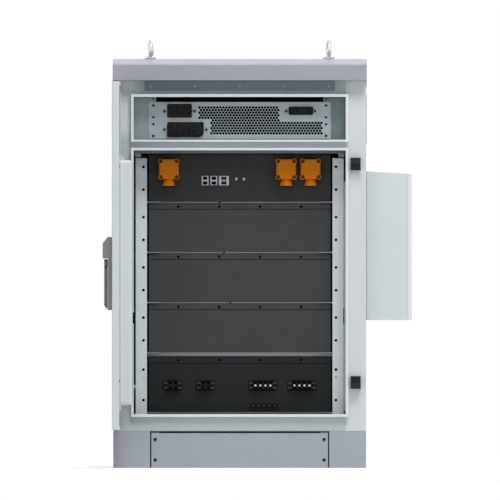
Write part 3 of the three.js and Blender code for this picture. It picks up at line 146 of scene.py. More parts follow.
def shade(colour, amount):
    return tuple(min(1.0, max(0.0, c * amount)) for c in colour[:3]) + (1.0,)


def grey(level, blue):
    return (level, level, blue, 1)


def rubbed_edges(tree, where, wear):
    """Where the paint is rubbed through: along edges, in broken patches."""
    bevel = tree.nodes.new("ShaderNodeBevel")
    bevel.samples = 4
    bevel.inputs["Radius"].default_value = EDGE_RADIUS
    dot = tree.nodes.new("ShaderNodeVectorMath")
    dot.operation = "DOT_PRODUCT"
    link(tree, bevel.outputs["Normal"], dot.inputs[0])
    link(tree, tree.nodes.new("ShaderNodeNewGeometry").outputs["Normal"], dot.inputs[1])
    rubbed = ramp(tree, dot.outputs["Value"], 0.995, 0.85, 0.0, 1.0)
    broken = ramp(tree, noise(tree, where, 90.0, 4.0, 0.7), 0.42, 0.62, 0.15, 1.0)
    return maths(tree, "MULTIPLY", maths(tree, "MULTIPLY", rubbed, broken), wear)


def finish(name, colour, roughness, metallic=0.0, *, bump, mottle, wear, grain=None, streak=None,
           wear_colour=None, dust=0.0, specular=0.5):
    """Painted, plated or moulded surface with cloudiness, uneven gloss and rubbed edges.

    Its relief is either a grain, given as the noise's scale, or a streak, given as its stretch.
    """
    base = linear(colour)
    material = bpy.data.materials.new(name)
    material.use_nodes = True
    tree = material.node_tree
    shader = tree.nodes["Principled BSDF"]
    where = tree.nodes.new("ShaderNodeTexCoord").outputs["Object"]
    cloud = ramp(tree, noise(tree, where, 5.0, 4.0, 0.55), 0.3, 0.7, 0.0, 1.0)
    tint = mix(tree, cloud, shade(base, 1 - mottle), shade(base, 1 + mottle))
    if streak:
        relief = noise(tree, scaled(tree, where, streak), 60.0, 3.0, 0.6)
        tint = mix(tree, ramp(tree, relief, 0.35, 0.75, 0.0, 0.5), tint, shade(base, 0.86))
    else:
        relief = noise(tree, where, grain, 2.0, 0.6)
    if dust:
        patch = noise(tree, where, 14.0, 5.0, 0.7)
        tint = mix(tree, ramp(tree, patch, 0.5, 0.85, 0.0, dust), tint, DUST)
    if wear:
        tint = mix(tree, rubbed_edges(tree, where, wear), tint, wear_colour or shade(base, 1.35))
    link(tree, tint, shader.inputs["Base Color"])
    gloss = ramp(tree, noise(tree, where, 22.0, 5.0, 0.65), 0.3, 0.7,
                 max(0.03, roughness - GLOSS_SPREAD), min(1.0, roughness + GLOSS_SPREAD))
    link(tree, gloss, shader.inputs["Roughness"])
    shader.inputs["Metallic"].default_value = metallic
    shader.inputs["Specular IOR Level"].default_value = specular
    bumper = tree.nodes.new("ShaderNodeBump")
    bumper.inputs["Strength"].default_value = bump
    bumper.inputs["Distance"].default_value = GRAIN_HEIGHT
    link(tree, relief, bumper.inputs["Height"])
    link(tree, bumper.outputs["Normal"], shader.inputs["Normal"])
    return material


PAINT = dict(grain=900, bump=0.10, mottle=0.012, wear=0.25)
RAIL_PAINT = dict(grain=900, bump=0.08, mottle=0.015, wear=0.3)
SHEET = dict(grain=500, bump=0.06, mottle=0.03, wear=0.3)
ZINC = dict(bump=0.08, mottle=0.04, wear=0.3, streak=(0.2, 1.0, 0.03))
THIN_SHEET = dict(grain=600, bump=0.10, mottle=0.04, wear=0.4)
UNIT_PAINT = dict(grain=650, bump=0.18, mottle=0.04, wear=0.4, specular=0.2)
DARK_STEEL = dict(grain=700, bump=0.15, mottle=0.05)
MOULDING = dict(grain=1400, bump=0.2, mottle=0.05)
ORANGE = dict(grain=1300, bump=0.15)
PLATED = dict(bump=0.06, mottle=0.05, wear=0.3)
SCREW = dict(grain=1500, bump=0.06, mottle=0.06)
TERMINAL = dict(grain=1500, bump=0.18, mottle=0.05, wear=0.3)

M = {
    "body": finish("body_paint", "#c8cdd0", 0.42, **PAINT),
    "door": finish("door_paint", "#c9cdd1", 0.42, **PAINT),
    "liner": finish("liner_paint", "#cfd6d9", 0.48, grain=850, bump=0.10, mottle=0.015, wear=0.25),
    "roof": finish("roof_paint", "#9a9fa5", 0.6, grain=900, bump=0.03, mottle=0.02, wear=0.25,
                   specular=0.34),
    "plinth": finish("plinth_paint", "#9aa0a7", 0.5, grain=900, bump=0.12, mottle=0.02, wear=0.25,
                     dust=0.05),
    "cooler": finish("cooler_paint", "#cad0d3", 0.45, **PAINT),
    "gutter": finish("gutter_paint", "#d7dbdd", 0.42, grain=900, bump=0.08, mottle=0.01, wear=0.2),
    "rail": finish("rack_rail_paint_painted_shade", "#d0d7da", 0.45, **RAIL_PAINT),
    "zinc": finish("zinc_sheet", "#bcc5c9", 0.42, 0.35, **ZINC),
    "panel": finish("panel_sheet", "#97a2a6", 0.45, 0.3, **SHEET),
    # A lighter copy of the left rail's paint: painted light on the right rail
    "rail_right": finish("rack_rail_right_painted_light_and_shade", "#dbe2e5", 0.45, **RAIL_PAINT),
    "power_rail": finish("power_rail_sheet", "#889498", 0.45, 0.2, **SHEET),
    # A darker copy of the left unit rail's sheet: painted shade on the right one
    "power_rail_right": finish("power_rail_right_painted_shade", "#637275", 0.45, 0.2, **SHEET),
    "shelf": finish("shelf_sheet", "#6b6d70", 0.45, 0.2, **THIN_SHEET),
    # A lighter copy of the shelf sheet: painted light on the rail brackets, which stand in shade
    "bracket": finish("bracket_painted_light", "#9a9a9e", 0.45, 0.1, **THIN_SHEET),
    "cover": finish("cooler_cover_paint", "#dbdfe1", 0.45, **PAINT),
    "unit": finish("unit_paint", "#393a3b", 0.55, wear_colour=grey(0.10, 0.105), **UNIT_PAINT),
    # A darker copy of the packs' paint: painted shade on the control unit under the mid bar
    "control": finish("control_unit_painted_shade", "#2b2c2e", 0.55, wear_colour=grey(0.07, 0.075),
                      **UNIT_PAINT),
    "junction": finish("junction_paint", "#1c1d1e", 0.55, grain=650, bump=0.18, mottle=0.05,
                       wear=0.4, wear_colour=grey(0.04, 0.043), specular=0.15),
    "black_steel": finish("black_steel", "#151516", 0.45, wear=0.4, wear_colour=grey(0.08, 0.085),
                          specular=0.3, **DARK_STEEL),
    "keeper": finish("keeper_black", "#070708", 0.4, wear=0.35, wear_colour=grey(0.05, 0.055),
                     specular=0.25, **DARK_STEEL),
    # Black of real parts, such as jack linings and clips, and of strips and caps that are painted
    # shadow in gaps and holes
    "void": finish("black_rubber_and_painted_shadow", "#060607", 0.8, wear=0.0, specular=0.1, **MOULDING),
    "black": finish("black_plastic", "#161618", 0.5, wear=0.3, wear_colour=grey(0.04, 0.045),
                    specular=0.3, **MOULDING),
    "orange": finish("orange_plastic", "#cb7200", 0.45, mottle=0.04, wear=0.35,
                     wear_colour=(0.75, 0.27, 0.01, 1), specular=0.12, **ORANGE),
    # A darker copy of the orange moulding: painted shade in the bosses' recesses
    "recess": finish("orange_recess_painted_shade", "#7d3808", 0.6, mottle=0.05, wear=0.0, specular=0.15,
                     **ORANGE),
    "port": finish("port_metal", "#9ea0a4", 0.4, 0.5, streak=(1.0, 1.0, 0.05), **PLATED),
    "button": finish("button_metal", "#7c7e81", 0.38, 0.5, grain=900, **PLATED),
    "handle": finish("handle_plastic", "#717376", 0.48, grain=1200, bump=0.2, mottle=0.03,
                     wear=0.3),
    "lever": finish("lever_coat", "#505558", 0.45, 0.1, grain=900, bump=0.12, mottle=0.03, wear=0.4,
                    wear_colour=(0.2, 0.21, 0.22, 1)),
    "steel": finish("bright_steel", "#c4c7ca", 0.28, 0.95, bump=0.05, mottle=0.05, wear=0.2,
                    streak=(1.0, 0.1, 1.0)),
    "screw": finish("screw_steel", "#b4b7bb", 0.3, 0.8, wear=0.4, **SCREW),
    "dark_screw": finish("dark_screw", "#1d1e20", 0.4, 0.5, grain=1500, bump=0.1, mottle=0.06,
                         wear=0.4, wear_colour=grey(0.09, 0.095), specular=0.3),
    "seal": finish("seal_foam", "#242528", 0.9, grain=2600, bump=0.5, mottle=0.1, wear=0.0),
    # Black standing for painted shade, behind the power unit's perforations and over it
    "shade_black": finish("painted_shade_black", "#060607", 0.95, grain=2200, bump=0.6, mottle=0.12, wear=0.0,
                   specular=0.1),
    "socket": finish("socket_moulding", "#0c0c0d", 0.5, grain=1400, bump=0.18, mottle=0.05,
                     wear=0.35, wear_colour=grey(0.05, 0.055), specular=0.15),
    "terminal": finish("terminal_moulding", "#050506", 0.65, wear_colour=grey(0.02, 0.022),
                       specular=0.08, **TERMINAL),
    # Lighter grey of the terminal strips' lugs and barriers, a painted highlight; the comb's screw
    # ends too
    "lug": finish("terminal_lug", "#343538", 0.5, specular=0.3, **TERMINAL),
    "terminal_screw": finish("terminal_screw_nickel", "#cdcfd2", 0.32, 0.55, grain=1500, bump=0.05,
                             mottle=0.03, wear=0.0),
    "eye": finish("eye_bolt_zinc", "#cfd1d4", 0.3, 0.6, grain=800, bump=0.08, mottle=0.04,
                  wear=0.2),
    "dull_screw": finish("dull_screw", "#8f9498", 0.45, 0.3, wear=0.3, **SCREW),
    "contact": finish("contact_tin", "#57585a", 0.4, 0.7, grain=2000, bump=0.05, mottle=0.05,
                      wear=0.0),
    "front": finish("front_sheet_painted_light_and_shade", "#c8cdd0", 0.42, **PAINT),
    "under_shelf": finish("compartment_shelf_painted_shade", "#bcc5c9", 0.42, 0.2, **ZINC),
}
ALL = (None, None)


def toned(material, places):
    """Painted light or shade in parts of a sheet.

    A place is its x, y and z ranges, the width of its soft edge, its colour and its strength.
    """
    tree = material.node_tree
    shader = tree.nodes["Principled BSDF"]
    colour = shader.inputs["Base Color"].links[0].from_socket
    axes = tree.nodes.new("ShaderNodeSeparateXYZ")
    link(tree, tree.nodes.new("ShaderNodeTexCoord").outputs["Object"], axes.inputs["Vector"])
    for x, y, z, soft, tone, strength in places:
        factor = None
        for socket, (low, high) in zip(("X", "Y", "Z"), (x, y, z)):
            for edge, inward in ((low, soft), (high, -soft)):
                if edge is None:
                    continue
                inside = ramp(tree, axes.outputs[socket], edge * MM, (edge + inward) * MM, 0.0, 1.0)
                factor = inside if factor is None else maths(tree, "MULTIPLY", factor, inside)
        colour = mix(tree, maths(tree, "MULTIPLY", factor, strength), colour, linear(tone))
    link(tree, colour, shader.inputs["Base Color"])


# Painted shade on the front sheet left of its right stile, painted light at its upper left,
# and the painted shadow of the eaves across its top
toned(M["front"], [((None, 285.2), ALL, ALL, 0.6, "#abb4b7", 1.0),
                   ((None, -262), ALL, (880, None), 30.0, "#c9d1d4", 0.8),
                   ((-290, 300), ALL, (965, 1130), 75.0, "#6d787c", 0.9)])
# Painted shade on the rails' returns beside the units and on the shelf's front lip, painted
# shadow of the eaves on the roof's flange, and painted light on the roof's slopes
for rail in ("rail", "rail_right"):
    toned(M[rail], [((-248.6, 248.6), ALL, ALL, 0.4, "#7b7f82", 1.0)])
toned(M["under_shelf"], [(ALL, (None, 60), (None, 864), 2.0, "#4f5052", 1.0)])
toned(M["roof"], [((-257, 257), (-28, -24), (1000, 1045), 0.8, "#757e84", 1.0),
                  (ALL, ALL, (1086, None), 1.5, "#acb1b7", 1.0)])

# The nodes of each material; the rest have the body's paint
MATERIAL_NODES = {
    "plinth": ("plinth_frame", "plinth_front_panel"),
    "roof": ("roof_cover",),
    "front": ("front_frame",),
    "gutter": ("lower_gutter_frame", "upper_gutter_frame"),
    "under_shelf": ("compartment_shelf",),
    "door": ("door_panel",),
    "liner": ("door_liner",),
    "seal": ("door_seal",),
    "handle": ("handle_base",),
    "lever": ("handle_spindle", "handle_lever"),
    "zinc": ("lock_gearbox", "lock_rod_upper", "lock_rod_lower"),
    "keeper": ("keeper_upper", "keeper_lower"),
    "steel": ("hinge_upper", "hinge_lower", "lifting_eye_front_left", "lifting_eye_front_right",
              "lifting_eye_rear_left", "lifting_eye_rear_right"),
    "cooler": ("cooler_housing",),
    "cover": ("cooler_grille",),
    "rail": ("rack_side_left",),
    "rail_right": ("rack_side_right",),
    "junction": ("junction_unit",),
    "control": ("control_unit",),
    "unit": ("battery_pack_1", "battery_pack_2", "battery_pack_3"),
    "orange": ("power_connector_left", "power_connector_middle", "power_connector_right"),
    "port": ("port_board", "start_button", "reset_button"),
    "power_rail": ("unit_rail_left",),
    "power_rail_right": ("unit_rail_right",),
    "panel": ("power_unit_case", "power_unit_front"),
    "black": ("cooler_fan", "rod_roller_upper", "rod_roller_lower",
              "terminal_block_1", "terminal_block_2", "terminal_block_3", "terminal_block_4",
              "earth_comb", "supply_connector", "output_connector", "signal_connector"),
}
MATERIAL_OF = {node: material for material, names in MATERIAL_NODES.items() for node in names}
for name, node in nodes.items():
    material = M[MATERIAL_OF.get(name, "body")]
    if not node.data.materials:
        node.data.materials.append(material)
    for slot in node.material_slots:
        slot.material = material


# ---------------------------------------------------------------- mesh helpers
def add_faces(bm, rings):
    """Joins closed rings of points, one after the other, with quads."""
    rows = [[bm.verts.new(Vector(p) * MM) for p in ring] for ring in rings]
    count = len(rows[0])
    for low, high in zip(rows, rows[1:]):
        for i in range(count):
            j = (i + 1) % count
            bm.faces.new((low[i], low[j], high[j], high[i]))
    return rows


def add_capped(bm, rings):
    """The same, with a face over each end."""
    rows = add_faces(bm, rings)
    bm.faces.new(rows[0])
    bm.faces.new(rows[-1])


def turned(axis, centre, radius, turn, along):
    """A point at a radius, turn and distance along an axis through a centre."""
    a, b = radius * math.cos(turn), radius * math.sin(turn)
    x, y, z = centre
    if axis == "x":
        return (x + along, y + a, z + b)
    if axis == "y":
        return (x + a, y + along, z + b)
    return (x + a, y + b, z + along)


def lathe(bm, profile, axis, centre, sides):
    """Revolves (radius, along) pairs round an axis; a radius of 0 at either end closes it."""
    rings = [[turned(axis, centre, r, 2 * math.pi * i / sides, t) for i in range(sides)]
             for r, t in profile if r > 0]
    rows = add_faces(bm, rings)
    for end, row in ((profile[0], rows[0]), (profile[-1], rows[-1])):
        if end[0] == 0:
            tip = bm.verts.new(Vector(turned(axis, centre, 0, 0, end[1])) * MM)
            for i in range(sides):
                bm.faces.new((row[i], row[(i + 1) % sides], tip))


def prism(bm, points, low, high, bevel=0.0):
    """Extrudes an outline in x and z along y, with a bevelled far face."""
    middle = [sum(p[k] for p in points) / len(points) for k in (0, 1)]

    def inset(point):
        return [c - math.copysign(min(bevel, abs(c - m)), c - m) for c, m in zip(point, middle)]

    rings = [[(a, y, b) for a, b in points] for y in (low, high - math.copysign(bevel, high - low))]
    if bevel:
        rings.append([(a, high, b) for a, b in map(inset, points)])
    add_capped(bm, rings)


def rounded(a0, a1, b0, b1, radius, steps):
    """Outline of a rectangle with round corners."""
    out = []
    for ca, cb, first in ((a1 - radius, b0 + radius, -90), (a1 - radius, b1 - radius, 0),
                          (a0 + radius, b1 - radius, 90), (a0 + radius, b0 + radius, 180)):
        for i in range(steps + 1):
            turn = math.radians(first + 90 * i / steps)
            out.append((ca + radius * math.cos(turn), cb + radius * math.sin(turn)))
    return out


def about(middle, half):
    """A range from half its width below a middle to as much above it."""
    return (middle - half, middle + half)


def beside(middle, side, near, far):
    """A range on one side of a middle, the lower end first."""
    return sorted((middle + side * near, middle + side * far))


def block(bm, x, y, z, bevel=0.0):
    """A box with bevelled edges."""
    made = bmesh.ops.create_cube(bm, size=1.0)["verts"]
    size = Vector((x[1] - x[0], y[1] - y[0], z[1] - z[0]))
    middle = Vector((x[0] + x[1], y[0] + y[1], z[0] + z[1])) / 2
    for v in made:
        v.co = Vector([(c * s + m) * MM for c, s, m in zip(v.co, size, middle)])
    if bevel:
        edges = list(dict.fromkeys(e for v in made for e in v.link_edges))
        bmesh.ops.bevel(bm, geom=edges, offset=bevel * MM, segments=2, profile=0.6, affect="EDGES")


def blocks(*places):
    """A build function for a piece that consists of blocks."""
    def build(bm):
        for place in places:
            block(bm, *place)
    return build


def lathes(profile, axis, centres, sides):
    """A build function for one turned shape at several places."""
    def build(bm):
        for centre in centres:
            lathe(bm, profile, axis, centre, sides)
    return build


def piece(name, body, material, build, replaces=(), smooth=35):
    """A mesh piece built by a function of a bmesh, riding on a CAD body."""
    bm = bmesh.new()
    build(bm)
    bmesh.ops.remove_doubles(bm, verts=bm.verts, dist=1e-7)
    bmesh.ops.recalc_face_normals(bm, faces=bm.faces)
    mesh = bpy.data.meshes.new(name)
    bm.to_mesh(mesh)
    bm.free()
    obj = bpy.data.objects.new(name, mesh)
    bpy.context.scene.collection.objects.link(obj)
    mesh.materials.append(M[material])
    for face in mesh.polygons:
        face.use_smooth = True
    mesh.set_sharp_from_angle(angle=math.radians(smooth))
    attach(obj, body)
    if replaces:
        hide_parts(*replaces)


def screw_head(bm, axis, place, out, radius, height, slots, turn):
    """A pan head with a slotted or crossed drive, standing out from a face in the direction out."""
    cap = height * 0.45
    profile = [(0, 0), (radius, 0), (radius, cap * 0.7), (radius * 0.93, cap), (0, cap)]
    lathe(bm, [(r, out * t) for r, t in profile], axis, place, 20)
    index = "xyz".index(axis)

    def lift(points, t):
        return [p[:index] + (p[index] + out * t,) + p[index + 1:] for p in points]

    gap = radius * 0.17
    count = 2 * slots
    for k in range(count):
        low = turn + 2 * math.pi * k / count + math.asin(gap / radius)
        high = turn + 2 * math.pi * (k + 1) / count - math.asin(gap / radius)
        corner = turned(axis, place, gap / math.sin(math.pi / count), (low + high) / 2, 0)
        rim, crown = ([turned(axis, place, r, low + (high - low) * i / 4, 0) for i in range(5)]
                      + [corner] for r in (radius * 0.93, radius * 0.8))
        add_capped(bm, [lift(rim, cap), lift(rim, cap * 1.3), lift(crown, height)])


def screws(name, body, material, axis, out, places, radius, height, slots=2):
    def build(bm):
        for place in places:
            screw_head(bm, axis, place, out, radius, height, slots, random.uniform(0, math.pi))
    piece(name, body, material, build)


# ---------------------------------------------------------------- power unit and its connectors
POWER = 12.7               # the power unit's front plane
POWER_FOOT = 884.5
POWER_TOP = 984
POWER_HALF = 245
EAR_X = 232.3
HOLE_PITCH = 8.0
HOLE_ROW_PITCH = 6.93
HOLE_RADIUS = 3.6
FIRST_HOLE = (-108.1, POWER_FOOT + 84.7)
SUPPLY = (-161.8, POWER_FOOT + 75.85, 66.4, 36.6)
OUTPUT = (-145.9, POWER_FOOT + 25.35, 98.2, 40.0)
SIGNAL = (164.4, POWER_FOOT + 75.85, 65.6, 22.0)
OUTPUT_CUT = 10.8          # of the output connector's lower right corner
CONNECTOR_CORNER = 3.8
CONNECTOR_RIM = 2.2
WINDOW_MARGIN = 2.7        # by which a window is smaller than its connector, on each side


def perforations():
    """Centres of the round holes, in rows between the connectors."""
    out = []
    for row in range(11):
        z = FIRST_HOLE[1] - row * HOLE_ROW_PITCH
        shift = (row % 2) * HOLE_PITCH / 2
        first = 0 if row < 5 else 4
        last = 26 if row < 6 else (41 if row % 2 == 0 else 40)
        out += [(FIRST_HOLE[0] + shift + i * HOLE_PITCH, z) for i in range(first, last + 1)]
    return out


def plate_with_holes(name, outline, holes, thickness, middle):
    """An upright plate with holes, about a middle plane in y, from a filled curve made a mesh."""
    curve = bpy.data.curves.new(name, "CURVE")
    curve.dimensions = "2D"
    curve.fill_mode = "BOTH"
    curve.extrude = thickness / 2 * MM
    for ring in [outline] + holes:
        spline = curve.splines.new("POLY")
        spline.points.add(len(ring) - 1)
        for point, (a, b) in zip(spline.points, ring):
            point.co = (a * MM, b * MM, 0, 1)
        spline.use_cyclic_u = True
    shape = bpy.data.objects.new(name + "_outline", curve)
    bpy.context.scene.collection.objects.link(shape)
    bpy.context.view_layer.update()
    graph = bpy.context.evaluated_depsgraph_get()
    mesh = bpy.data.meshes.new_from_object(shape.evaluated_get(graph))
    bpy.data.objects.remove(shape)
    bpy.data.curves.remove(curve)
    upright = Matrix.Rotation(math.radians(90), 4, "X")
    mesh.transform(Matrix.Translation((0, middle * MM, 0)) @ upright)
    return mesh


def circle(x, z, radius, sides=14, stretch=0.0):
    """A round or, with a stretch along x, a long hole."""
    out = []
    for i in range(sides):
        turn = 2 * math.pi * (i + 0.5) / sides
        a = radius * math.cos(turn)
        out.append((x + a + math.copysign(stretch / 2, a), z + radius * math.sin(turn)))
    return out


def window(x, z, width, height):
    w, h = width / 2 - WINDOW_MARGIN, height / 2 - WINDOW_MARGIN
    return [(x - w, z - h), (x + w, z - h), (x + w, z + h), (x - w, z + h)]


def power_front():
    holes = [circle(x, z, HOLE_RADIUS) for x, z in perforations()]
    holes += [circle(side * EAR_X, POWER_FOOT + rise, 3.0, 14, 2.0)
              for rise in (8.6, 39.8, 58.4, 90) for side in SIDES]
    holes += [window(*SUPPLY), window(*OUTPUT), window(*SIGNAL)]
    outline = rounded(-POWER_HALF, POWER_HALF, POWER_FOOT, POWER_TOP, 1.2, 3)
    mesh = plate_with_holes("power_front_plate", outline, holes, 1.9, POWER + 1.0)
    obj = bpy.data.objects.new("power_front_plate", mesh)
    bpy.context.scene.collection.objects.link(obj)
    mesh.materials.clear()
    mesh.materials.append(M["panel"])
    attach(obj, "cabinet")
    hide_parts("power_unit_front")


power_front()


def black_behind_perforations(bm):
    """Black behind the perforations, as painted shade seen through them, and a thin strip behind
    the front's right edge.
    """
    outline = [(-126, 976), (-126, 932), (-95, 932), (-95, 893), (218.5, 893), (218.5, 947),
               (129.5, 947), (129.5, 976)]
    prism(bm, outline, 30, 26)
    block(bm, (216.5, 224.0), (14.76, 14.95), (893, 932))


piece("power_panel_painted_shade", "cabinet", "shade_black", black_behind_perforations)
# A black strip fills the gap over the power unit, as painted shadow
piece("power_unit_top_painted_shadow", "cabinet", "shade_black",
      blocks(((-224.5, 224.5), (18.5, 25.5), (984.4, 997.2), 0.6)))


def connector_outline(x, z, width, height, inset, radius, steps, cut):
    """A connector's rounded outline; a cut takes off its lower right corner at 45 degrees."""
    right, foot = x + width / 2 - inset, z - height / 2 + inset
    points = rounded(x - width / 2 + inset, right, foot, z + height / 2 - inset, radius, steps)
    if cut:
        points = [(right - cut, foot), (right, foot + cut)] + points[steps + 1:]
    return points


def socket_frame(bm, spec, cut):
    """Raised rim round a connector's face."""
    outer = connector_outline(*spec, 0, CONNECTOR_CORNER, 4, cut)
    inner = connector_outline(*spec, CONNECTOR_RIM, 2.2, 4, cut and cut - 1.3)
    front, back = 3.3, 4.6
    add_faces(bm, [[(a, y, b) for a, b in ring]
                   for y, ring in ((back, outer), (front, outer), (front, inner), (back, inner))])


def panel_connector(name, spec, contacts, cut=0.0):
    """Moulded connector: a face with round sockets, a rim, and a body through the front."""
    x, z, width, height = spec
    places = [(x + a * width, z + b * height, radius) for a, b, radius in contacts]
    face = plate_with_holes(name, connector_outline(*spec, 0, CONNECTOR_CORNER, 3, cut),
                            [circle(a, b, radius, 20) for a, b, radius in places], 7.8, 8.7)

    def moulding(bm):
        bm.from_mesh(face)
        block(bm, (x - width / 2 + 3, x + width / 2 - 3 - cut * 0.4), (11.5, 38.7),
              (z - height / 2 + 3, z + height / 2 - 3), 0.4)
        for a, b, radius in places:
            lathe(bm, [(radius + 0.9, 4.8), (radius + 0.8, 4.3), (radius + 0.3, 4.1), (radius, 4.4),
                       (radius, 5.2)], "y", (a, 0, b), 20)

    def wells(bm):
        socket_frame(bm, spec, cut)
        for a, b, radius in places:
            lathe(bm, [(radius - 0.05, 4.6), (radius - 0.05, 9.6), (0, 9.6)], "y", (a, 0, b), 20)

    def pins(bm):
        for a, b, radius in places:
            lathe(bm, [(0, 7.2), (radius * 0.32, 7.5), (radius * 0.42, 8.4), (radius * 0.42, 11.6)],
                  "y", (a, 0, b), 12)

    piece(f"{name}_moulding", "cabinet", "socket", moulding, [name], 40)
    bpy.data.meshes.remove(face)
    piece(f"{name}_wells", "cabinet", "void", wells)
    piece(f"{name}_pins", "cabinet", "contact", pins)


def grid(first, second, radius):
    """Sockets as shares of the connector's width and height from its middle, with their radius."""
    return [(a, b, radius) for a in first for b in second]


panel_connector("supply_connector", SUPPLY, grid((-0.32, -0.08, 0.12, 0.37), (-0.2, 0.2), 1.8))
panel_connector("signal_connector", SIGNAL,
                grid((-0.39, -0.28, -0.16, 0.27, 0.38), (-0.17, 0.17), 1.7))
panel_connector("output_connector", OUTPUT,
                grid((-0.38, -0.2), (-0.22, 0.21), 3.9) + grid((-0.04, 0.225), (0.29, -0.1), 3.0)
                + grid((0.09,), (0.11, -0.25), 3.0), OUTPUT_CUT)
PANEL_SCREWS = ((-202.6, 959.5), (-121.3, 959.5), (-202.6, 909.8), (-89.6, 909.8), (125.5, 959.7),
                (201.8, 959.7))
piece("panel_screw_rings", "cabinet", "dull_screw",
      lathes([(3.4, 0), (3.4, -0.5), (3.9, -0.8), (5.1, -0.8), (5.6, -0.4), (5.6, 0)], "y",
             [(x, POWER, z) for x, z in PANEL_SCREWS], 24))
screws("panel_connector_screws", "cabinet", "keeper", "y", -1,
       [(x, POWER - 0.1, z) for x, z in PANEL_SCREWS], 3.1, 2.4)


# ---------------------------------------------------------------- orange power connectors
COVERS = {"left": -190.8, "middle": 124.9, "right": 190.8}
COVER_Z = 803.5
COVER_HALF = 26.6          # of the square body
COVER_FRONT, COVER_BACK = 20.0, 59.7
BOSS = 21.5                # from the middle to a corner screw, in x and in z
BELL_Y = 40.0


def boss_places(x):
    return [(x + sx * BOSS, 0, COVER_Z + sz * BOSS) for sx in SIDES for sz in SIDES]


def notched_square(x, half, radius):
    """Square outline with a round bite out of each corner, where the screw bosses stand."""
    first = -math.acos((half - BOSS) / radius)
    last = math.pi / 2 - first - 2 * math.pi
    out = []
    for k in range(4):
        for i in range(9):
            turn = first + (last - first) * i / 8
            point = Vector((BOSS + radius * math.cos(turn), BOSS + radius * math.sin(turn)))
            point.rotate(Matrix.Rotation(k * math.pi / 2, 2))
            out.append((x + point.x, COVER_Z + point.y))
    return out


def orange_cover(x):
    """Square body with a domed edge, four hollow bosses, and a bell round the cable's mouth."""
    def build(bm):
        steps = ((COVER_BACK, 0, 6.2), (COVER_FRONT + 2.6, 0, 6.2), (COVER_FRONT + 0.5, 2.2, 6.4),
                 (COVER_FRONT, 3.4, 6.6))
        add_capped(bm, [[(a, y, b) for a, b in notched_square(x, COVER_HALF - inset, radius)]
                        for y, inset, radius in steps])
        boss = [(0, COVER_BACK), (7.2, COVER_BACK), (7.2, 20.8), (6.7, 19.6), (6.0, 19.2),
                (5.6, 19.5), (5.4, 28.0), (0, 28.0)]
        for place in boss_places(x):
            lathe(bm, boss, "y", place, 28)
        mouth = COVER_Z - COVER_HALF - 18
        bell = [(9.5, 26), (9.5, 2.5), (10.6, 0), (17.1, 0), (17.6, 0.8), (17.0, 3.4), (15.6, 8.0),
                (14.4, 12.0), (13.5, 15.5), (12.9, 18.5), (12.9, 21)]
        lathe(bm, [(r, mouth + t) for r, t in bell], "z", (x, BELL_Y, 0), 36)
    return build


for label, x in COVERS.items():
    piece(f"orange_cover_{label}", "cabinet", "orange", orange_cover(x),
          [f"power_connector_{label}"], 40)
    # Dark brown in the bosses' recesses: painted shade
    piece(f"orange_cover_{label}_recesses", "cabinet", "recess",
          lathes([(5.5, 20.3), (5.3, 20.5), (5.1, 22.1), (2.5, 22.4), (2.2, 26.0), (0, 26.0)], "y",
                 boss_places(x), 24))
piece("cable_entry_seals", "cabinet", "seal",
      lathes([(9.3, 764), (9.3, 762.4), (8.6, 761.6), (6.4, 761.6), (6.0, 762.6), (6.0, 772)], "z",
             [(x, BELL_Y, 0) for x in COVERS.values()], 28))


# ---------------------------------------------------------------- jacks and buttons
# The rack units from below: foot, height, and the height of the lid's lip, if the unit has one
UNITS = ((150.1, 149.5, 18.2), (310.9, 131, 15.6), (446.1, 131, 15.6), (581.3, 131, 15.6),
         (716.5, 127, None))
LEVELS = [foot for foot, height, lip in UNITS]
JACK_X = (-93.1, -69.7)
WIDE_X = -42.6             # of the wide port
JACK_Z = LEVELS[-1] + 56.2
JACK_RISE = 6.25           # from the middle of a port to each of its two mouths
BUTTONS = {"start_button": -9.3, "reset_button": 11.0}
BUTTON_Z = 776.8


def jack_linings(bm):
    """Black walls and back of each jack, and the wide port's two plug bodies."""
    for x in JACK_X:
        for side in SIDES:
            z = JACK_Z + side * JACK_RISE
            for (a0, a1), (b0, b1) in (((-5.9, -5.5), (-4.3, 4.3)), ((5.5, 5.9), (-4.3, 4.3)),
                                       ((-5.5, 5.5), (-4.3, -3.95)), ((-5.5, 5.5), (3.95, 4.3))):
                block(bm, (x + a0, x + a1), (59.0, 68.8), (z + b0, z + b1))
            block(bm, about(x, 5.5), (68.2, 68.9), about(z, 4.0), 0.1)
    for side in SIDES:
        block(bm, about(WIDE_X, 7.4), (61.0, 68.9), about(JACK_Z + side * JACK_RISE, 3.9), 0.4)


piece("jack_linings", "cabinet", "void", jack_linings)
# Pillars between the wide port's two plugs
piece("wide_port_pillars", "cabinet", "dark_screw",
      lathes([(0, 57.6), (1.5, 57.6), (1.9, 58.0), (1.9, 59.2), (0, 59.2)], "y",
             [(WIDE_X + side * 5.2, 0, JACK_Z) for side in SIDES], 6))


def jack_contacts(bm):
    for x in JACK_X:
        for side in SIDES:
            z = JACK_Z + side * JACK_RISE - side * 3.1
            for i in range(8):
                block(bm, about(x + (i - 3.5) * 1.27, 0.25), (61.5, 68.0), about(z, 0.3), 0.08)
    for side in SIDES:
        z = JACK_Z + side * JACK_RISE
        for i in range(5):
            block(bm, about(WIDE_X + (i - 2) * 2.2, 0.35), (60.2, 61.2), about(z, 1.2), 0.08)


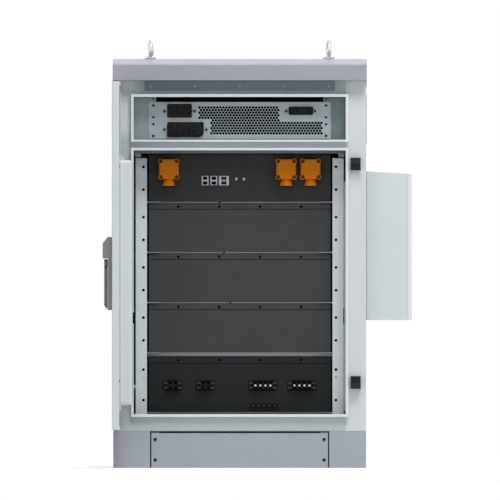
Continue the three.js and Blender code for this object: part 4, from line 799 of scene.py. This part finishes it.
piece("jack_contacts", "cabinet", "contact", jack_contacts)
for button, x in BUTTONS.items():
    piece(f"{button}_cap", button, "button",
          lathes([(0, 66.9), (4.8, 66.9), (4.8, 58.2), (4.4, 57.3), (3.9, 57.0), (3.5, 57.2),
                  (3.2, 57.6), (0, 57.7)], "y", [(x, 0, BUTTON_Z)], 32), [button])
piece("button_bezels", "cabinet", "black_steel",
      lathes([(5.6, 60.0), (5.6, 59.3), (6.0, 58.9), (7.0, 58.9), (7.5, 59.4), (7.5, 60.0)], "y",
             [(x, 0, BUTTON_Z) for x in BUTTONS.values()], 32))


# ---------------------------------------------------------------- terminals of the junction unit
TERMINAL_Z = 221.4
TERMINAL_PITCH = 13.4
COMB_X = [65.6 + 14.5 * (i - 2) for i in range(5)]


def terminal_strip(x, poles):
    """Base, two ears, barriers between the poles, and a seat for each screw."""
    def build(bm):
        half = poles * TERMINAL_PITCH / 2
        block(bm, about(x, half + 1.2), (52.0, 59.7), about(TERMINAL_Z, 13.6), 0.7)
        for side in SIDES:
            block(bm, beside(x, side, half + 0.6, half + 12.0), (56.5, 59.7),
                  about(TERMINAL_Z, 12.4), 0.8)
        for i in range(poles + 1):
            middle = x + TERMINAL_PITCH * (i - poles / 2)
            block(bm, about(middle, 1.1), (43.2, 53.0), about(TERMINAL_Z, 11.4), 0.5)
        for i in range(poles):
            middle = x + TERMINAL_PITCH * (i - (poles - 1) / 2)
            for up in SIDES:
                block(bm, about(middle, 4.9), (48.5, 52.4), beside(TERMINAL_Z, up, 7.4, 12.6), 0.8)
            lathe(bm, [(5.2, 52.4), (5.2, 51.2), (4.5, 50.6), (0, 50.6)], "y",
                  (middle, 0, TERMINAL_Z), 24)
    return build


def terminal_lug_highlights(x, poles):
    """Painted highlights: lighter grey on the lugs above and below each open slot for the fixing
    screw, and on the barriers.
    """
    def build(bm):
        half = poles * TERMINAL_PITCH / 2
        for side in SIDES:
            for up in SIDES:
                block(bm, beside(x, side, half + 1.4, half + 10.4), (51.0, 56.4),
                      beside(TERMINAL_Z, up, 4.2, 9.6), 1.3)
        for i in range(poles + 1):
            middle = x + TERMINAL_PITCH * (i - poles / 2)
            for up in SIDES:
                block(bm, about(middle, 1.0), (42.9, 43.4), beside(TERMINAL_Z, up, 1.5, 7.0), 0.1)
    return build


for index, (x, poles) in enumerate(((-180.0, 2), (-91.5, 2), (62.5, 4), (167.5, 4)), 1):
    strip = f"terminal_strip_{index}"
    piece(strip, "cabinet", "terminal", terminal_strip(x, poles),
          [f"terminal_block_{index}"])
    piece(f"{strip}_lugs", "cabinet", "lug", terminal_lug_highlights(x, poles))
    middles = [(x + TERMINAL_PITCH * (i - (poles - 1) / 2), 50.6, TERMINAL_Z) for i in range(poles)]
    if poles == 4:
        screws(f"{strip}_screws", "cabinet", "terminal_screw", "y", -1,
               middles, 2.9, 3.0, 1)
    else:
        screws(f"{strip}_screws", "cabinet", "dark_screw", "y", -1,
               middles, 2.4, 2.4)
    reach = poles * TERMINAL_PITCH / 2 + 7.0
    screws(f"{strip}_fixings", "cabinet", "black_steel", "y", -1,
           [(x + side * reach, 56.6, TERMINAL_Z) for side in SIDES], 2.8, 2.6)


def comb_plate(bm):
    prism(bm, rounded(26.0, 105.2, 155.6, 173.8, 2.5, 4), 59.7, 57.9, 0.5)


def arch(bm, x, z, radius, wire, foot):
    """A bent strip: two legs and a half circle, standing in front of its plate."""
    path = [(x - radius, foot), (x - radius, z - 0.4)]
    path += [(x + radius * math.cos(math.radians(180 - t)),
              z + radius * math.sin(math.radians(180 - t))) for t in range(0, 181, 15)]
    path += [(x + radius, z - 0.4), (x + radius, foot)]
    rings = []
    for k, (a, b) in enumerate(path):
        before, after = path[max(0, k - 1)], path[min(len(path) - 1, k + 1)]
        along = Vector((after[0] - before[0], after[1] - before[1])).normalized()
        ring = []
        for q in range(10):
            t = 2 * math.pi * q / 10
            side = wire * math.cos(t)
            ring.append((a - along.y * side, 54.2 + 1.8 + 1.8 * math.sin(t), b + along.x * side))
        rings.append(ring)
    add_capped(bm, rings)


def comb_arches(bm):
    for x in COMB_X:
        arch(bm, x, 167.3, 5.4, 1.05, 163.6)
        arch(bm, x, 159.0, 3.6, 0.85, 156.4)


def comb_inserts(bm):
    """Pale screw ends inside the arches."""
    for x in COMB_X:
        lathe(bm, [(0, 55.4), (2.4, 55.4), (2.9, 55.9), (2.9, 57.9), (0, 57.9)], "y",
              (x, 0, 167.0), 18)
        lathe(bm, [(0, 55.8), (1.4, 55.8), (1.8, 56.2), (1.8, 57.9), (0, 57.9)], "y",
              (x, 0, 158.6), 16)


piece("earth_comb_plate", "cabinet", "junction", comb_plate, ["earth_comb"])
piece("earth_comb_inserts", "cabinet", "lug", comb_inserts)
piece("earth_comb_arches", "cabinet", "void", comb_arches)


# ---------------------------------------------------------------- lifting eyes
EYE_Z = 1126.1             # the ring's middle
EYE_RADIUS = 21.0
EYE_WIRE, EYE_THICKNESS = 6.0, 5.0     # half the ring's wire, across and along its axis
EYE_TURN = 4               # degrees from edge-on


def lifting_eye(x, y):
    """A ring, and a shank with its collar through the roof."""
    def build(bm):
        turn = Matrix.Rotation(math.radians(EYE_TURN), 3, "Z")
        rings = []
        for i in range(48):
            a = 2 * math.pi * i / 48
            ring = []
            for k in range(16):
                b = 2 * math.pi * k / 16
                r = EYE_RADIUS + EYE_WIRE * math.cos(b)
                point = Vector((EYE_THICKNESS * math.sin(b), r * math.cos(a), r * math.sin(a)))
                ring.append(tuple(turn @ point + Vector((x, y, EYE_Z))))
            rings.append(ring)
        add_faces(bm, rings + [rings[0]])
        lathe(bm, [(0, 1028), (5.6, 1028), (6.0, 1029), (6.0, 1100.1), (14.2, 1100.1),
                   (15.0, 1101.0), (15.0, 1106.0), (13.6, 1107.4), (9.6, 1108.3), (0, 1108.6)],
              "z", (x, y, 0), 40)
    return build


for end, y in (("front", 35), ("rear", 565)):
    for hand, x in (("left", -240), ("right", 240)):
        piece(f"eye_bolt_{end}_{hand}", "cabinet", "eye", lifting_eye(x, y),
              [f"lifting_eye_{end}_{hand}"], 50)


# ---------------------------------------------------------------- screws, seams, gaskets and trims
PLINTH_SCREWS = [(x, FRONT, z) for x in (-227, 227) for z in (22, 77)]
screws("roof_flange_screws", "cabinet", "dull_screw", "y", -1,
       [(x, -26.5, 1026.5) for x in (-240, -120, 0, 120, 240)], 3.3, 2.0)
screws("plinth_panel_screws", "cabinet", "dark_screw", "y", -1,
       PLINTH_SCREWS, 4.2, 3.2)
screws("hinge_plate_screws", "cabinet", "screw", "y", -1,
       [(-320.0, -28.3, z + d) for z in (796.5, 346.5) for d in (-28, 28)], 3.4, 2.2)
screws("vent_cover_screws", "cabinet", "screw", "x", 1,
       [(342.8, y, z) for y in (99, 225, 351) for z in (879, 1001)], 3.0, 0.9)
screws("rear_panel_screws", "cabinet", "screw", "y", 1,
       [(x, 625.0, z) for x in (-332, 332) for z in (112, 286, 460, 634, 808, 982)]
       + [(x, 625.0, z) for x in (-220, -110, 0, 110, 220) for z in (108, 1034)], 3.2, 2.0)
# Dark heads sunk in the lid lips, the packs' first
piece("pack_lid_screws", "cabinet", "void",
      lathes([(3.9, 58.78), (3.8, 58.3), (3.3, 58.0), (1.9, 58.0), (1.6, 58.5), (0, 58.6)], "y",
             [(x, 0, foot + height - 9.4) for foot, height, lip in UNITS[1:4] + UNITS[:1]
              for x in (-165, -55, 55, 165)], 20))


def unit_painted_shadows(bm):
    """Black strips as painted shadow: a line under each lid lip, and strips in the gaps beside each
    unit.
    """
    for foot, height, lip in UNITS:
        if lip:
            top = foot + height - lip
            block(bm, (-243.8, 243.8), (59.5, 59.9), (top - 1.4, top - 0.1))
        rise = (foot + 0.8, foot + height - 0.6)
        for side in SIDES:
            block(bm, beside(0, side, 244.2, 249.6), (58.0, 58.75), rise)
            block(bm, beside(0, side, 245.3, 249.5), (58.7, 64.0), rise)


piece("unit_painted_shadows", "cabinet", "void", unit_painted_shadows)
# Black strips as painted shadow in the gaps beside the plinth's front panel, and over it between
# its two tabs
piece("plinth_panel_gap_shadows", "cabinet", "void",
      blocks(*((beside(0, side, 237.4, 239.7), (-25.2, -24.4), (0.5, 96.0)) for side in SIDES),
             ((-216.0, 216.0), (-25.2, -24.4), (93.7, 96.0))))
piece("plinth_screw_rings", "cabinet", "dull_screw",
      lathes([(4.2, 0.0), (4.3, -0.7), (5.0, -0.9), (5.6, -0.5), (5.8, 0.0)], "y",
             PLINTH_SCREWS, 24))
# Black caps in the rails' holes, as painted shade inside them
piece("rail_hole_shadows", "cabinet", "void",
      lathes([(0, 49.0), (2.2, 49.0), (2.5, 48.6), (3.1, 48.5), (3.6, 48.8), (3.7, 50.0)], "y",
             [(side * 259.0, 0, z) for side in SIDES for z in
              [level + rise for level in LEVELS[1:] for rise in (32, 93.2)] + [182.1, 264.1]], 20))
# Front edges of the thin shelves under the units, and of the deeper one over the junction unit
piece("shelf_front_edges", "cabinet", "shelf",
      blocks(*(((-217, 217), (57.6, 70.0), (level - 3.4, level - 0.7), 0.3)
               for level in (LEVELS[0], *LEVELS[2:])),
             ((-247.5, 247.5), (57.0, 70.0), (300.2, 310.4), 0.5)))


def rail_brackets(bm):
    """The plates at the rails' upper ends, each with a round inner corner."""
    for side in SIDES:
        outline = [(side * 281, 836.5), (side * 281, 847.2), (side * 250.5, 847.2),
                   (side * 250.5, 845.8)]
        outline += [(side * (262.5 + 3.5 * math.sin(math.radians(t))),
                     842.3 + 3.5 * math.cos(math.radians(t))) for t in range(0, 91, 15)]
        outline += [(side * 266.0, 836.5)]
        prism(bm, outline, 54.0, 51.5)


piece("rail_top_brackets", "cabinet", "bracket", rail_brackets)
# A clip on the front's left stile, one by the right rail, and one on each of three shelves
piece("cable_clips", "cabinet", "void",
      blocks(((-287.4, -280.9), (-37.3, -28.0), (388.5, 418.5), 0.9),
             ((278.6, 280.9), (49.6, 52.0), (386.0, 430.0), 0.6),
             *((about(x, 2.6), (56.9, 58.4), (level - 3.8, level - 0.4), 0.3)
               for x, level in ((-54, LEVELS[4]), (-42, LEVELS[3]), (-25, LEVELS[2])))))


def side_trims(bm):
    """A strip beside the right rail, and a small stop by the left one."""
    prism(bm, rounded(280.4, 286.0, 152.0, 771.0, 1.0, 2), 55.0, 52.5, 0.4)
    block(bm, (-287, -277), (42.0, 44.0), (218.2, 222.4), 0.5)


piece("rack_side_trims", "cabinet", "rail", side_trims)
screws("power_ear_screws", "cabinet", "dark_screw", "y", -1,
       [(side * EAR_X, POWER, POWER_FOOT + rise) for side in SIDES for rise in (8.6, 90)], 3.4, 2.2)
# The cylinder in the middle of the handle hood's flat face, which is 17 mm shorter than the hood
HOOD_TOP, HOOD_HEIGHT = 620.8, 57.5
piece("lock_cylinder_face", "door", "screw",
      lathes([(0, -363.9), (5.2, -363.9), (5.6, -363.4), (5.6, -362.0)], "x",
             [(0, -682, HOOD_TOP - HOOD_HEIGHT + (HOOD_HEIGHT - 17) / 2)], 28))


# ---------------------------------------------------------------- camera, light, floor: metres
CAMERA_DISTANCE = 61.6     # from the front plane: so far off that the view is almost parallel
BACKGROUND_LIGHT = 0.28
FLOOR_REACH = 3.0
FLOOR_GLOW = 0.45          # only where it is seen: the floor is white but keeps its shadow

camera_data = bpy.data.cameras.new("camera")
camera_data.sensor_width = 36
camera_data.lens = 1650
camera_data.clip_start = 1
camera_data.clip_end = 300
camera = bpy.data.objects.new("camera", camera_data)
camera.location = (0.0277, FRONT * MM - CAMERA_DISTANCE, 0.586)
camera.rotation_euler = (math.radians(90), 0, 0)
bpy.context.scene.collection.objects.link(camera)
bpy.context.scene.camera = camera
bpy.context.scene.view_settings.view_transform = "Standard"

# Name, place, target, size and power of each lamp
for name, place, target, size, power in (
        ("key", (0.95, -2.8, 5.1), (0, 0, 0.6), (2.2, 2.0), 216),
        ("fill", (-0.6, -6.4, 1.3), (0, 0, 0.55), (3.4, 2.4), 42),
        ("side", (4.2, -1.2, 1.6), (0.3, 0.3, 0.6), (2.0, 2.4), 16),
        ("left", (-4.4, 0.9, 1.9), (-0.3, 0.3, 0.6), (2.0, 2.4), 34),
        ("back", (0.4, 4.8, 2.8), (0, 0.3, 0.6), (3.0, 2.4), 66)):
    data = bpy.data.lights.new(name, "AREA")
    data.shape = "RECTANGLE"
    data.size, data.size_y = size
    data.energy = power
    lamp = bpy.data.objects.new(name, data)
    lamp.location = place
    lamp.rotation_euler = (Vector(target) - Vector(place)).to_track_quat("-Z", "Y").to_euler()
    bpy.context.scene.collection.objects.link(lamp)


def seen_directly(tree):
    """1 where the camera, a reflection or glass sees the background, 0 for all light it gives."""
    path = tree.nodes.new("ShaderNodeLightPath")
    seen = path.outputs["Is Camera Ray"]
    for name in ("Is Glossy Ray", "Is Transmission Ray"):
        seen = maths(tree, "MAXIMUM", seen, path.outputs[name])
    return seen


world = bpy.data.worlds.new("studio")
bpy.context.scene.world = world
world.use_nodes = True
tree = world.node_tree
light = tree.nodes["Background"]
light.inputs["Color"].default_value = (0.95, 0.97, 1.0, 1)
light.inputs["Strength"].default_value = BACKGROUND_LIGHT
white = tree.nodes.new("ShaderNodeBackground")
white.inputs["Color"].default_value = (1, 1, 1, 1)
white.inputs["Strength"].default_value = 1.0
blend = tree.nodes.new("ShaderNodeMixShader")
link(tree, seen_directly(tree), blend.inputs["Fac"])
link(tree, light.outputs["Background"], blend.inputs[1])
link(tree, white.outputs["Background"], blend.inputs[2])
link(tree, blend.outputs["Shader"], tree.nodes["World Output"].inputs["Surface"])

floor_mesh = bpy.data.meshes.new("floor")
floor_mesh.from_pydata([(x * FLOOR_REACH, y * FLOOR_REACH, 0)
                        for x, y in ((-1, -1), (1, -1), (1, 1), (-1, 1))], [], [(0, 1, 2, 3)])
floor = bpy.data.objects.new("floor", floor_mesh)
bpy.context.scene.collection.objects.link(floor)
floor_material = bpy.data.materials.new("floor")
floor_material.use_nodes = True
tree = floor_material.node_tree
shader = tree.nodes["Principled BSDF"]
shader.inputs["Base Color"].default_value = (0.9, 0.9, 0.9, 1)
shader.inputs["Roughness"].default_value = 0.9
glow = tree.nodes.new("ShaderNodeEmission")
glow.inputs["Color"].default_value = (1, 1, 1, 1)
link(tree, maths(tree, "MULTIPLY", seen_directly(tree), FLOOR_GLOW), glow.inputs["Strength"])
both = tree.nodes.new("ShaderNodeAddShader")
link(tree, shader.outputs["BSDF"], both.inputs[0])
link(tree, glow.outputs["Emission"], both.inputs[1])
link(tree, both.outputs["Shader"], tree.nodes["Material Output"].inputs["Surface"])
floor_mesh.materials.append(floor_material)
floor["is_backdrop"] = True

size = {"cad": cad_box, "visual": plain(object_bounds())}
